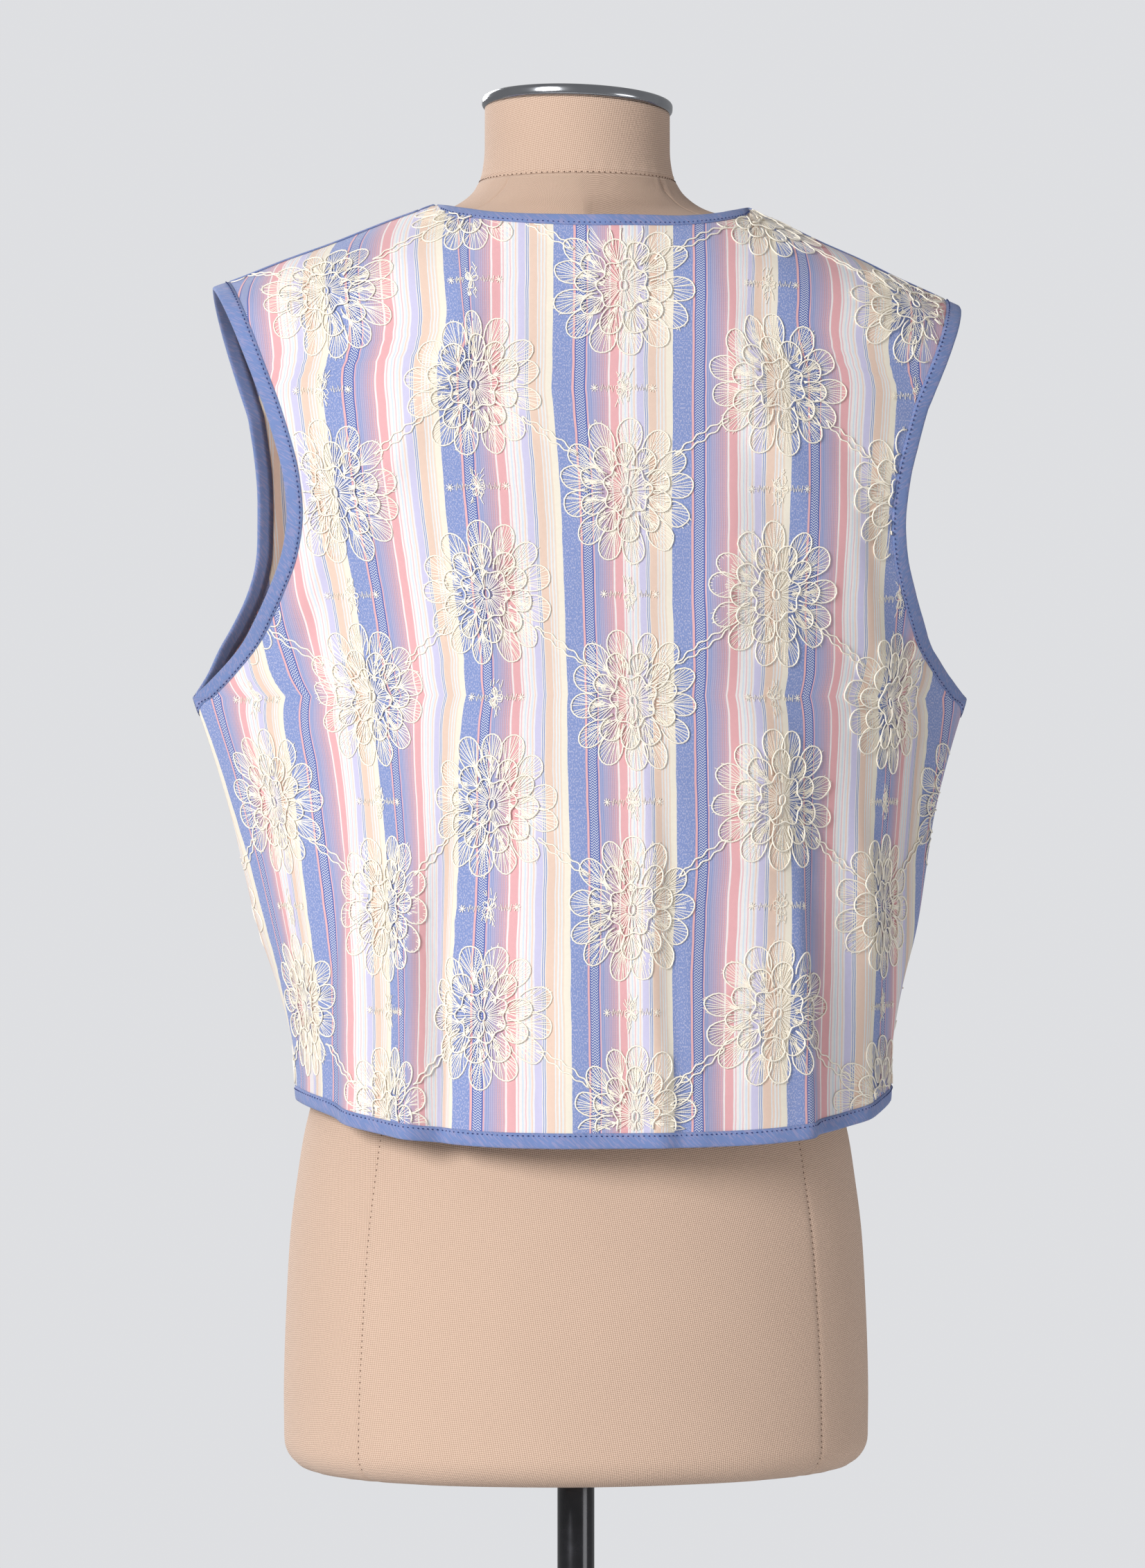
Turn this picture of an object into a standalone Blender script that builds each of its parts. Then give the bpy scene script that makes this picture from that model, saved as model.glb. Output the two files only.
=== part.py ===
"""A sleeveless cropped gilet of striped, embroidered cotton, on a limbless dress form with a round stand.

Metres, +Z up. The gilet's front faces -Y and the wearer's left side is +X. The origin is the centre of the
stand's underside. The tables give millimetres, as a tailor measures; heights in them start at the form's
underside.
"""

import functools
import math
from collections import namedtuple

import bmesh
import bpy
import numpy as np

MM = 0.001

STAND_HEIGHT = 250.0
WALL = 1.5
SEAM_GAP = 0.3
FIT_GAP = 0.3
TAPE_THICKNESS = 0.8
HEM_BINDING_WIDTH = 8.0
ARMHOLE_BINDING_WIDTH = 9.0
NECK_BINDING_WIDTH = 7.0
FRONT_BINDING_WIDTH = 9.0
SHOULDER_TAPE_HALF_WIDTH = 4.0
FRONT_OPENING_HALF = 3.5
CORNER_SHARE = 0.1

# Working values: the slack for comparing shares, how far a mitred seam may be drawn out, where a binding's
# folded edge starts to turn and how thick it is there, and the steps over which directions are measured.
SHARE_SLACK = 1e-6
MITRE_LIMIT = 0.55
TURN_START = 0.5
TURN_THICKNESS = 0.6
DIRECTION_STEP = 0.01
LENGTH_STEP = 0.05
SHARE_STEP = 0.03
LEVEL_RISE = 0.1
HALVINGS = 40

NECK_POINT_X = 93.0
NECK_POINT_Y = 25.0
NECK_POINT_Z = 742.3
SHOULDER_TIP_X = 221.0
SHOULDER_TIP_Y = 10.0
SHOULDER_DROP = 51.9
SHOULDER_DROP_UNEVENNESS = 3.3
SHOULDER_ROLL = math.radians(78.0)
SHOULDER_FULLNESS = 1.4
BACK_NECK_Z = 730.3
BACK_NECK_SQUARENESS = 4.0
FRONT_NECK_Z = 586.0
FRONT_NECK_BEND = 0.85
NECK_SHARE = NECK_POINT_X / SHOULDER_TIP_X

CHEST_ROUNDNESS = 2.2
SHOULDER_BLADE_ROUNDNESS = 2.4
HEM_SIDE_RISE_POWER = 4.0

# From the hem to the underarm point, both panels share the side seam: its height, half width and depth.
SeamRow = namedtuple("SeamRow", "edge_z back_z front_z half shift edge_y back_y front_y corner")
SEAM_ROWS = [
    SeamRow(218, 197.5, 199, 175.0, -9.5, 14, 150, -122, 1.90),
    SeamRow(251, 234.0, 234, 177.5, -9.0, 14, 149, -121, 1.75),
    SeamRow(284, 272.0, 271, 185.0, -8.2, 12, 147, -120, 1.60),
    SeamRow(317, 310.0, 309, 195.0, -7.2, 10, 143, -120, 1.45),
    SeamRow(350, 347.0, 346, 202.0, -6.0, 8, 138, -120, 1.30),
    SeamRow(383, 382.0, 381, 208.5, -5.0, 5, 132, -121, 1.20),
    SeamRow(416, 416.0, 416, 217.5, -4.5, 2, 126, -123, 1.10),
    SeamRow(454, 454.0, 454, 229.5, -4.0, 0, 120, -124, 1.00),
]

# From the underarm point to the yoke, each panel has its own armhole edge.
ArmRow = namedtuple("ArmRow", "edge_z mid_z half shift edge_y mid_y")
BACK_ARM_ROWS = [
    ArmRow(468, 470, 216.0, -4.3, 14, 118.0),
    ArmRow(483, 488, 204.0, -4.6, 27, 116.5),
    ArmRow(498, 506, 196.5, -4.9, 40, 115.0),
    ArmRow(516, 526, 189.0, -5.2, 52, 114.0),
    ArmRow(536, 548, 182.5, -5.5, 62, 113.0),
    ArmRow(558, 572, 180.0, -5.8, 68, 112.0),
    ArmRow(582, 598, 182.5, -6.0, 69, 110.5),
    ArmRow(602, 620, 187.5, -6.2, 66, 109.0),
    ArmRow(622, 641, 193.5, -6.3, 61, 107.0),
]
FRONT_ARM_ROWS = [
    ArmRow(468, 470, 221.0, -4.3, -12, -125.0),
    ArmRow(483, 488, 214.0, -4.6, -26, -126.0),
    ArmRow(498, 506, 205.5, -4.9, -40, -126.0),
    ArmRow(516, 526, 197.0, -5.2, -52, -124.0),
    ArmRow(536, 548, 191.5, -5.5, -61, -121.0),
    ArmRow(558, 572, 190.5, -5.8, -66, -116.0),
    ArmRow(582, 598, 191.0, -6.0, -66, -109.0),
    ArmRow(602, 620, 193.5, -6.2, -62, -102.0),
    ArmRow(622, 641, 197.0, -6.3, -56, -95.0),
]
TOP_SHIFT = -6.5
UNDERARM = len(SEAM_ROWS) - 1
YOKE = UNDERARM + len(BACK_ARM_ROWS)

# The largest folds: each runs from its foot to its head and stands out by depth, or sinks where it is negative.
Fold = namedtuple("Fold", "panel foot_x foot_z head_x head_z width depth")
FOLDS = [
    Fold("back", 128, 205, 105, 455, 20, 4.0),
    Fold("back", 158, 210, 150, 420, 14, -3.0),
    Fold("back", 84, 215, 72, 380, 17, -3.0),
    Fold("back", -108, 200, -92, 450, 21, 4.0),
    Fold("back", -66, 225, -60, 350, 15, -2.5),
    Fold("back", -146, 215, -138, 400, 15, -3.0),
    Fold("back", 30, 200, 20, 330, 22, 2.0),
    Fold("back", 150, 520, 110, 640, 20, 2.5),
    Fold("back", -152, 500, -118, 625, 20, 2.5),
    Fold("front", 118, 205, 96, 440, 21, 4.0),
    Fold("front", 72, 215, 64, 380, 16, -3.0),
    Fold("front", -124, 205, -104, 445, 20, 4.0),
    Fold("front", -80, 210, -66, 395, 17, -3.0),
]
FOLD_FADE = 60.0
FADE_STEEPNESS = 4.0
FOLD_EDGE_POWER = 8.0

# The columns of a half panel: shares of the way from the middle to the neck point on the back, and from the
# neck point or the front binding to the armhole binding.
BACK_COLUMNS = [0.0, 0.25, 0.5, 0.72, 0.88]
SIDE_COLUMNS = [0.18, 0.38, 0.57, 0.73, 0.875, 1.0]
FRONT_COLUMNS = [0.13, 0.27, 0.41, 0.55, 0.67, 0.78, 0.89, 1.0]
BACK_NECK_COLUMN = len(BACK_COLUMNS)
SEAM_LEVELS = [0.6, 1.2, 1.9, 2.6, 3.3, 4.0, 4.7, 5.4, 6.1, 6.763]
ARM_LEVEL_COUNT = 13
LENGTH_SAMPLES = 60
SHOULDER_TAPE_SECTIONS = 8

# The dress form, ring by ring: half width, the depth of its side line, front and back, and its squareness.
FormRow = namedtuple("FormRow", "z half edge_y front_y back_y square")
FORM_ROWS = [
    FormRow(18, 173.0, 4, -118, 126, 2.10),
    FormRow(50, 173.2, 4, -118, 126, 2.10),
    FormRow(90, 172.0, 4, -117, 126, 2.10),
    FormRow(136, 169.5, 4, -114, 123, 2.10),
    FormRow(169, 165.5, 4, -111, 119, 2.10),
    FormRow(202, 160.0, 4, -107, 114, 2.10),
    FormRow(246, 148.0, 3, -100, 104, 2.10),
    FormRow(290, 136.0, 2, -94, 95, 2.10),
    FormRow(341, 125.5, 1, -91, 89, 2.10),
    FormRow(386, 130.0, 0, -97, 91, 2.10),
    FormRow(426, 138.0, 0, -105, 95, 2.10),
    FormRow(466, 146.0, 0, -113, 99, 2.15),
    FormRow(511, 151.0, 2, -116, 102, 2.20),
    FormRow(556, 154.0, 5, -106, 103, 2.25),
    FormRow(600, 160.0, 8, -92, 101, 2.30),
    FormRow(640, 171.0, 11, -84, 96, 2.30),
    FormRow(668, 178.0, 13, -74, 86, 2.00),
    FormRow(690, 176.0, 15, -66, 80, 1.65),
    FormRow(706, 165.0, 17, -60, 75, 1.45),
    FormRow(717, 145.5, 18.5, -56, 71, 1.35),
    FormRow(726, 124.5, 21.0, -53, 68, 1.27),
    FormRow(732, 108.7, 22.6, -51.5, 66.5, 1.25),
    FormRow(736, 95.7, 23.2, -50.5, 66, 1.27),
    FormRow(740, 81.5, 20.0, -50, 66, 1.40),
    FormRow(744, 72.0, 16.0, -50, 66, 1.60),
    FormRow(751, 63.0, 11.0, -50, 66, 1.85),
    FormRow(758, 58.5, 8.0, -50.5, 66.5, 2.00),
]
FORM_POINTS = 48
FORM_EDGE_RADIUS = 18.0
FORM_EDGE_STEPS = 4

# The canvas neck tilts with its plate: the right side lies lower, and the front lies lower than the back.
NeckRow = namedtuple("NeckRow", "z radius")
NECK_ROWS = [NeckRow(0.0, 58.3), NeckRow(6.0, 56.3), NeckRow(16.0, 54.9), NeckRow(42.0, 54.7)]
NECK_Y = 8.0
NECK_TILT_SIDE = math.radians(2.4)
NECK_TILT_FORWARD = math.radians(2.7)
NECK_PLATE_RADIUS = 56.4
NECK_PLATE_THICKNESS = 7.0
NECK_PLATE_EDGE = 2.5

POLE_RADIUS = 11.0
POLE_SOCKET_DEPTH = 80.0
BASE_RADIUS = 170.0
BASE_THICKNESS = 18.0
BASE_EDGE = 5.0
ROUND_SEGMENTS = 48


def clear_scene():
    """Removes what the file opens with."""
    for thing in list(bpy.data.objects):
        bpy.data.objects.remove(thing, do_unlink=True)


def material(name, color, roughness, metallic=0.0):
    """A Principled material with the piece's plain colour."""
    made = bpy.data.materials.new(name)
    made.use_nodes = True
    shader = made.node_tree.nodes["Principled BSDF"]
    shader.inputs["Base Color"].default_value = (*color, 1.0)
    shader.inputs["Roughness"].default_value = roughness
    shader.inputs["Metallic"].default_value = metallic
    made.diffuse_color = (*color, 1.0)
    return made


def add_object(name, mesh, finish, sharp_angle=40.0):
    """Links a mesh as a named object with its faces pointing out and its round sides shaded smooth."""
    work = bmesh.new()
    work.from_mesh(mesh)
    bmesh.ops.recalc_face_normals(work, faces=work.faces)
    work.to_mesh(mesh)
    work.free()
    mesh.materials.append(finish)
    mesh.shade_smooth()
    mesh.set_sharp_from_angle(angle=math.radians(sharp_angle))
    thing = bpy.data.objects.new(name, mesh)
    bpy.context.collection.objects.link(thing)
    return thing


def mesh_from(name, points, faces):
    """A mesh from points in millimetres over the form's underside."""
    placed = (np.asarray(points) + (0.0, 0.0, STAND_HEIGHT)) * MM
    mesh = bpy.data.meshes.new(name)
    mesh.from_pydata(placed.tolist(), [], faces)
    return mesh


def unit(vector):
    """The vector at length one."""
    return vector / np.linalg.norm(vector)


def between(rows, place):
    """The row at a fractional place in a table, on a smooth curve through its rows."""
    low = min(int(place), len(rows) - 2)
    share = place - low
    start, end = np.array(rows[low], float), np.array(rows[low + 1], float)
    before = np.array(rows[low - 1], float) if low > 0 else 2 * start - end
    after = np.array(rows[low + 2], float) if low + 2 < len(rows) else 2 * end - start
    leave, arrive = (end - before) / 2, (after - start) / 2
    return (
        start * (1 + 2 * share) * (1 - share) ** 2
        + leave * share * (1 - share) ** 2
        + end * share**2 * (3 - 2 * share)
        - arrive * share**2 * (1 - share)
    )


def arm_rows(side):
    """The armhole rows of one side, opened by the underarm row that it shares with the side seam."""
    low = SEAM_ROWS[UNDERARM]
    if side == "back":
        return [ArmRow(low.edge_z, low.back_z, low.half, low.shift, low.edge_y, low.back_y)] + BACK_ARM_ROWS
    return [ArmRow(low.edge_z, low.front_z, low.half, low.shift, low.edge_y, low.front_y)] + FRONT_ARM_ROWS


def section_point(side, across, level):
    """A point of the plain cloth below the yoke: across runs from -1 to 1, level counts the table's rows."""
    reach = min(abs(across), 1.0)
    if level <= UNDERARM:
        row = SeamRow(*between(SEAM_ROWS, level))
        mid_z = row.back_z if side == "back" else row.front_z
        mid_y = row.back_y if side == "back" else row.front_y
        bow = (1.0 - reach**CHEST_ROUNDNESS) ** (1.0 / row.corner)
    else:
        row = ArmRow(*between(arm_rows(side), level - UNDERARM))
        mid_z, mid_y = row.mid_z, row.mid_y
        rise = min(1.0, level - UNDERARM)
        roundness = CHEST_ROUNDNESS + rise * (SHOULDER_BLADE_ROUNDNESS - CHEST_ROUNDNESS)
        bow = 1.0 - reach**roundness
    height = mid_z + (row.edge_z - mid_z) * reach**HEM_SIDE_RISE_POWER
    return np.array([row.shift + row.half * across, row.edge_y + (mid_y - row.edge_y) * bow, height])


def shoulder_point(across):
    """A point of the shoulder line, which runs on past the neck points as a plain guide."""
    beyond = (abs(across) - NECK_SHARE) / (1.0 - NECK_SHARE)
    uneven = -math.copysign(SHOULDER_DROP_UNEVENNESS, across) * max(beyond, 0.0)
    slope_y = (SHOULDER_TIP_Y - NECK_POINT_Y) * beyond
    height = NECK_POINT_Z - SHOULDER_DROP * beyond - uneven
    return np.array([TOP_SHIFT + SHOULDER_TIP_X * across, NECK_POINT_Y + slope_y, height])


def plain_point(side, across, level):
    """A point of the cloth without folds; over the yoke it rolls on a quarter turn to the shoulder line."""
    if level <= YOKE:
        return section_point(side, across, level)
    low, top = section_point(side, across, YOKE), shoulder_point(across)
    turn = (level - YOKE) * SHOULDER_ROLL
    rise = math.sin(turn) / math.sin(SHOULDER_ROLL)
    lean = ((1.0 - math.cos(turn)) / (1.0 - math.cos(SHOULDER_ROLL))) ** SHOULDER_FULLNESS
    return low + (top - low) * np.array([rise, lean, rise])


def fold_depth(side, across, point):
    """How far the folds move the cloth out at this point."""
    depth = 0.0
    for fold in FOLDS:
        if fold.panel != side:
            continue
        along = (point[2] - fold.foot_z) / (fold.head_z - fold.foot_z)
        middle = fold.foot_x + (fold.head_x - fold.foot_x) * along
        fade = 1.0 / (1.0 + math.exp((point[2] - fold.head_z) / FOLD_FADE * FADE_STEEPNESS))
        if fold.foot_z > SEAM_ROWS[UNDERARM].edge_z:
            fade *= 1.0 / (1.0 + math.exp((fold.foot_z - point[2]) / FOLD_FADE * FADE_STEEPNESS))
        depth += fold.depth * fade * math.exp(-(((point[0] - middle) / fold.width) ** 2))
    return depth * (1.0 - min(abs(across), 1.0) ** FOLD_EDGE_POWER)


def cloth_point(side, across, level):
    """A point in the middle of the cloth's wall."""
    point = plain_point(side, across, level)
    step = DIRECTION_STEP
    ahead, behind = min(across + step, 1.0), max(across - step, -1.0)
    above, below = min(level + step, YOKE + 1.0), max(level - step, 0.0)
    along = plain_point(side, ahead, level) - plain_point(side, behind, level)
    up = plain_point(side, across, above) - plain_point(side, across, below)
    outward = unit(np.cross(along, up)) * (-1.0 if side == "back" else 1.0)
    return point + outward * fold_depth(side, across, point)


def level_at_height(side, across, height):
    """The level where a column reaches a height."""
    low, high = float(UNDERARM), YOKE + 1.0
    for _ in range(HALVINGS):
        middle = (low + high) / 2
        if plain_point(side, across, middle)[2] < height:
            low = middle
        else:
            high = middle
    return (low + high) / 2


def top_level(side, across):
    """The level of the panel's top edge: the shoulder line, or the back's neckline between the neck points."""
    share = abs(across) / NECK_SHARE
    if side == "front" or share >= 1.0 - SHARE_SLACK:
        return YOKE + 1.0
    height = BACK_NECK_Z + (NECK_POINT_Z - BACK_NECK_Z) * share**BACK_NECK_SQUARENESS
    return level_at_height(side, across, height)


def front_edge_share(level):
    """How far across a front panel starts: at its straight front edge, then along the neckline to its end."""
    row = min(level, YOKE)
    half = section_point("front", 1.0, row)[0] - section_point("front", 0.0, row)[0]
    start = FRONT_OPENING_HALF / half
    rise = (plain_point("front", NECK_SHARE, level)[2] - FRONT_NECK_Z) / (NECK_POINT_Z - FRONT_NECK_Z)
    return start + (NECK_SHARE - start) * max(rise, 0.0) ** FRONT_NECK_BEND


def level_below(side, across, level, width):
    """The level that lies a width below another one, measured on the cloth."""
    lower = cloth_point(side, across, level - LENGTH_STEP)
    length = np.linalg.norm(cloth_point(side, across, level) - lower)
    return level - LENGTH_STEP * width / length


def share_inside(side, sign, level, width, at_front_edge):
    """The share that lies a width inside the armhole edge or the front edge, measured square to that edge."""
    step, rise = SHARE_STEP, LEVEL_RISE
    toward = 1.0 if at_front_edge else -1.0

    def edge_at(height):
        return front_edge_share(height) if at_front_edge else 1.0

    share = edge_at(level)
    edge = cloth_point(side, sign * share, level)
    inward = cloth_point(side, sign * (share + toward * step), level) - edge
    lower, upper = max(level - rise, 0.0), min(level + rise, YOKE + 1.0)
    if level >= UNDERARM and not at_front_edge:
        lower = max(lower, float(UNDERARM))
    high_edge = cloth_point(side, sign * edge_at(upper), upper)
    run = unit(high_edge - cloth_point(side, sign * edge_at(lower), lower))
    square = np.linalg.norm(inward - run * np.dot(inward, run))
    return share + toward * min(step * width / square, 2.0 * step * width / np.linalg.norm(inward))


def half_columns(side, sign, level):
    """The shares across, from the centre outwards, for one row of a half panel."""
    within = share_inside(side, sign, level, ARMHOLE_BINDING_WIDTH, False)
    if side == "back":
        middle = [NECK_SHARE * place for place in BACK_COLUMNS] + [NECK_SHARE]
        steps = SIDE_COLUMNS
    else:
        middle = [front_edge_share(level), share_inside(side, sign, level, FRONT_BINDING_WIDTH, True)]
        steps = FRONT_COLUMNS
    outer = [middle[-1] + (within - middle[-1]) * place for place in steps]
    return [sign * share for share in middle + outer + [1.0]]


@functools.cache
def rising_shares(side):
    """Shares of the level between the underarm and the top edge that are evenly spaced along the cloth."""
    samples = np.linspace(UNDERARM, YOKE + 1.0, LENGTH_SAMPLES)
    places = np.array([plain_point(side, NECK_SHARE, level) for level in samples])
    lengths = np.concatenate([[0.0], np.cumsum(np.linalg.norm(np.diff(places, axis=0), axis=1))])
    even = np.interp(np.linspace(0.0, lengths[-1], ARM_LEVEL_COUNT + 1), lengths, samples)
    return (even - UNDERARM) / (YOKE + 1.0 - UNDERARM)


def panel_levels(side, across):
    """The levels of one column's points: the hem, the rows up to the underarm, then evenly up to the top."""
    top = top_level(side, across)
    bound = level_below(side, across, top, NECK_BINDING_WIDTH)
    first_row = cloth_point(side, across, 1.0) - cloth_point(side, across, 0.0)
    hem_bound = HEM_BINDING_WIDTH / np.linalg.norm(first_row)
    rising = [UNDERARM + (bound - UNDERARM) * share for share in rising_shares(side)]
    return [0.0, hem_bound] + SEAM_LEVELS + rising + [top]


def panel_grid(side, signs):
    """The panel's middle surface as rows of (share, point), from the hem to the top edge."""
    row_count = len(panel_levels(side, 0.0))
    grid = []
    for row in range(row_count):
        line = []
        for sign in signs:
            level = panel_levels(side, sign)[row]
            shares = half_columns(side, sign, level)
            half_line = []
            for share in shares:
                half_line.append((share, cloth_point(side, share, panel_levels(side, share)[row])))
            if line:
                line = line + half_line[1:]
            else:
                line = half_line[::-1] if sign < 0 and len(signs) == 2 else half_line
        grid.append(line)
    return grid


def grid_frames(side, grid, seam_row):
    """Adds to each grid point its half-thickness vector, mitred at the seams, and opens the seam gap there."""
    points = np.array([[place[1] for place in line] for line in grid])
    shares = np.array([[place[0] for place in line] for line in grid])
    rows, columns = shares.shape
    away = np.array([0.0, SEAM_GAP / 2 if side == "back" else -SEAM_GAP / 2, 0.0])
    halves = np.empty_like(points)
    for r in range(rows):
        for c in range(columns):
            along = points[r, min(c + 1, columns - 1)] - points[r, max(c - 1, 0)]
            low, high = max(r - 1, 0), min(r + 1, rows - 1)
            if abs(shares[r, c]) > 1.0 - SHARE_SLACK and r == seam_row:
                high = r
            normal = unit(np.cross(along, points[high, c] - points[low, c]))
            if normal[1] * away[1] < 0:
                normal = -normal
            halves[r, c] = normal * WALL / 2
            at_side = abs(shares[r, c]) > 1.0 - SHARE_SLACK and r <= seam_row
            at_shoulder = r == rows - 1 and abs(shares[r, c]) >= NECK_SHARE - SHARE_SLACK
            if at_side or at_shoulder:
                run = points[high, c] - points[low, c] if at_side else along
                sideways = math.copysign(1.0, shares[r, c])
                bisector = np.array([sideways, 0.0, 0.0] if at_side else [0.0, 0.0, 1.0])
                run[1] = 0.0
                bisector = unit(bisector - unit(run) * np.dot(bisector, unit(run)))
                halves[r, c] = bisector * WALL / 2 / max(np.dot(bisector, normal), MITRE_LIMIT)
    for r in range(rows):
        for c in range(columns):
            at_side = abs(shares[r, c]) > 1.0 - SHARE_SLACK and r <= seam_row
            at_shoulder = r == rows - 1 and abs(shares[r, c]) >= NECK_SHARE - SHARE_SLACK
            if at_side or at_shoulder:
                points[r, c] += away
    return points, halves


def add_wall(name, points, halves, finish):
    """A panel: the skins of a grid, closed round its rim. Its cells are split from low and inner."""
    rows, columns = points.shape[:2]
    skin = rows * columns
    verts = np.concatenate([(points + halves).reshape(-1, 3), (points - halves).reshape(-1, 3)])

    def at(r, c):
        return r * columns + c

    faces = []
    for r in range(rows - 1):
        for c in range(columns - 1):
            quad = [at(r, c), at(r, c + 1), at(r + 1, c + 1), at(r + 1, c)]
            if abs(points[r, c + 1, 0] - TOP_SHIFT) < abs(points[r, c, 0] - TOP_SHIFT):
                quad = quad[1:] + quad[:1]
            for corners in ((0, 1, 2), (0, 2, 3)):
                split = [quad[corner] for corner in corners]
                faces.append(split)
                faces.append([skin + place for place in reversed(split)])
    rim = [at(0, c) for c in range(columns)] + [at(r, columns - 1) for r in range(1, rows)]
    rim += [at(rows - 1, c) for c in range(columns - 2, -1, -1)] + [at(r, 0) for r in range(rows - 2, 0, -1)]
    for start, end in zip(rim, rim[1:] + rim[:1]):
        faces.append([start, skin + start, skin + end, end])
    return add_object(name, mesh_from(name, verts, faces), finish)


def add_strip(name, sections, finish, splits=None):
    """A long piece: equal sections in a row, closed at both ends. Splits say how its legs' cells are cut."""
    size = len(sections[0])
    faces = [list(range(size)), [len(sections) * size - 1 - place for place in range(size)]]
    for section in range(len(sections) - 1):
        for place in range(size):
            following = (place + 1) % size
            low, high = section * size, (section + 1) * size
            quad = [low + place, low + following, high + following, high + place]
            inner_first = place in LEGS_FROM_INNER
            if splits and (inner_first or place in LEGS_FROM_EDGE):
                if splits[section] != inner_first:
                    quad = quad[1:] + quad[:1]
                faces += [[quad[0], quad[1], quad[2]], [quad[0], quad[2], quad[3]]]
            else:
                faces.append(quad)
    return add_object(name, mesh_from(name, np.concatenate(sections), faces), finish)


def add_binding(name, stations, finish):
    """A binding through its stations, with the cells of its legs split as the cloth's cells under them."""
    splits = []
    for here, there in zip(stations, stations[1:]):
        from_inner = abs(here.inner_rank - there.edge_rank)
        splits.append(from_inner > abs(here.edge_rank - there.inner_rank))
    sections = [binding_section(place) for place in stations]
    return add_strip(name, sections, finish, splits)


# In a binding's section, the sides whose first point is the inner one, and those where it is the edge's.
LEGS_FROM_INNER = (0, 6)
LEGS_FROM_EDGE = (4, 8)

# One section of a binding: points and half-thickness vectors at the edge and inside it, and each one's rank,
# which grows upwards and outwards over the panel's cells.
Station = namedtuple("Station", "edge edge_half inner inner_half out_from edge_rank inner_rank")


def binding_section(place):
    """A binding's section, folded over the panel's edge: two legs that end at the inner points."""
    edge, edge_half, inner, inner_half = place[:4]
    out = edge - place.out_from
    thick = unit(edge_half)
    out = unit(out - thick * np.dot(out, thick))
    near = 1.0 + FIT_GAP / (WALL / 2)
    far = 1.0 + (FIT_GAP + TAPE_THICKNESS) / (WALL / 2)
    gap, reach = out * FIT_GAP, out * (FIT_GAP + TAPE_THICKNESS)
    return np.array(
        [
            inner + inner_half * far,
            edge + edge_half * far + gap * TURN_START,
            edge + edge_half * far * TURN_THICKNESS + reach,
            edge - edge_half * far * TURN_THICKNESS + reach,
            edge - edge_half * far + gap * TURN_START,
            inner - inner_half * far,
            inner - inner_half * near,
            edge - edge_half * near + gap,
            edge + edge_half * near + gap,
            inner + inner_half * near,
        ]
    )


def station(panel, edge, inner, out_from=None):
    """The edge and inner points of a panel, with their half-thickness vectors, for one binding section."""
    points, halves = panel
    middle = points.shape[1] // 2 if points[0, 0, 0] < TOP_SHIFT < points[0, -1, 0] else 0
    ranks = [row + abs(column - middle) for row, column in (edge, inner)]
    return Station(points[edge], halves[edge], points[inner], halves[inner], points[out_from or inner], *ranks)


def middle_of(first, second):
    """The section between two panels' edges at a seam."""
    return Station(*((a + b) / 2 for a, b in zip(first, second)))


def slid(here, there, distance):
    """A section moved along the strip by a short distance towards the next one."""
    share = distance / np.linalg.norm(there[0] - here[0])
    moved = [a + (b - a) * share for a, b in zip(here, there)]
    return Station(*moved[:5], *here[5:]) if isinstance(here, Station) else moved


def ring_points(row, height):
    """One ring of the dress form: a rounded square whose front and back have their own depths."""
    points = []
    for step in range(FORM_POINTS):
        angle = 2 * math.pi * step / FORM_POINTS
        cosine, sine = math.cos(angle), math.sin(angle)
        depth = (row.back_y if sine > 0 else row.front_y) - row.edge_y
        x = row.half * math.copysign(abs(cosine) ** (2 / row.square), cosine)
        points.append((x, row.edge_y + depth * abs(sine) ** (2 / row.square), height))
    return np.array(points)


def add_loft(name, rings, finish, sharp_angle=40.0):
    """A closed body through rings of equal size, from the lowest to the highest."""
    size = len(rings[0])
    faces = [list(range(size - 1, -1, -1)), [(len(rings) - 1) * size + place for place in range(size)]]
    for ring in range(len(rings) - 1):
        for place in range(size):
            following = (place + 1) % size
            low, high = ring * size, (ring + 1) * size
            faces.append([low + place, low + following, high + following, high + place])
    return add_object(name, mesh_from(name, np.concatenate(rings), faces), finish, sharp_angle)


def inset_ring(row, inset, height):
    """A ring of the form drawn in by an equal amount on every side."""
    drawn = row._replace(half=row.half - inset, front_y=row.front_y + inset, back_y=row.back_y - inset)
    return ring_points(drawn, height)


def tilted_circle(radius, height):
    """A circle of the neck, level at the neck's foot and tilted with the plate at its top."""
    share = min(max(height / NECK_ROWS[-1].z, 0.0), 1.0)
    points = []
    for step in range(FORM_POINTS):
        angle = 2 * math.pi * step / FORM_POINTS
        x, y = radius * math.cos(angle), radius * math.sin(angle)
        lift = share * (x * math.tan(NECK_TILT_SIDE) + y * math.tan(NECK_TILT_FORWARD))
        points.append((x, NECK_Y + y, FORM_ROWS[-1].z + FIT_GAP + height + lift))
    return np.array(points)


def add_turned(name, profile, finish):
    """A turned piece round the Z axis, from (radius, height) pairs that run from the bottom to the top."""
    rings = []
    for radius, height in profile:
        angles = [2 * math.pi * step / ROUND_SEGMENTS for step in range(ROUND_SEGMENTS)]
        rings.append(np.array([(radius * math.cos(a), radius * math.sin(a), height) for a in angles]))
    return add_loft(name, rings, finish, sharp_angle=30.0)


def build_panels(cloth):
    """The back and the two fronts. Returns each one's grid of points and half-thickness vectors."""
    panels = {}
    seam_row = 2 + len(SEAM_LEVELS)
    for name, side, signs in (
        ("back_panel", "back", (-1, 1)),
        ("front_panel_left", "front", (1,)),
        ("front_panel_right", "front", (-1,)),
    ):
        panels[name] = grid_frames(side, panel_grid(side, signs), seam_row)
        add_wall(name, *panels[name], cloth)
    return panels, seam_row


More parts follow.
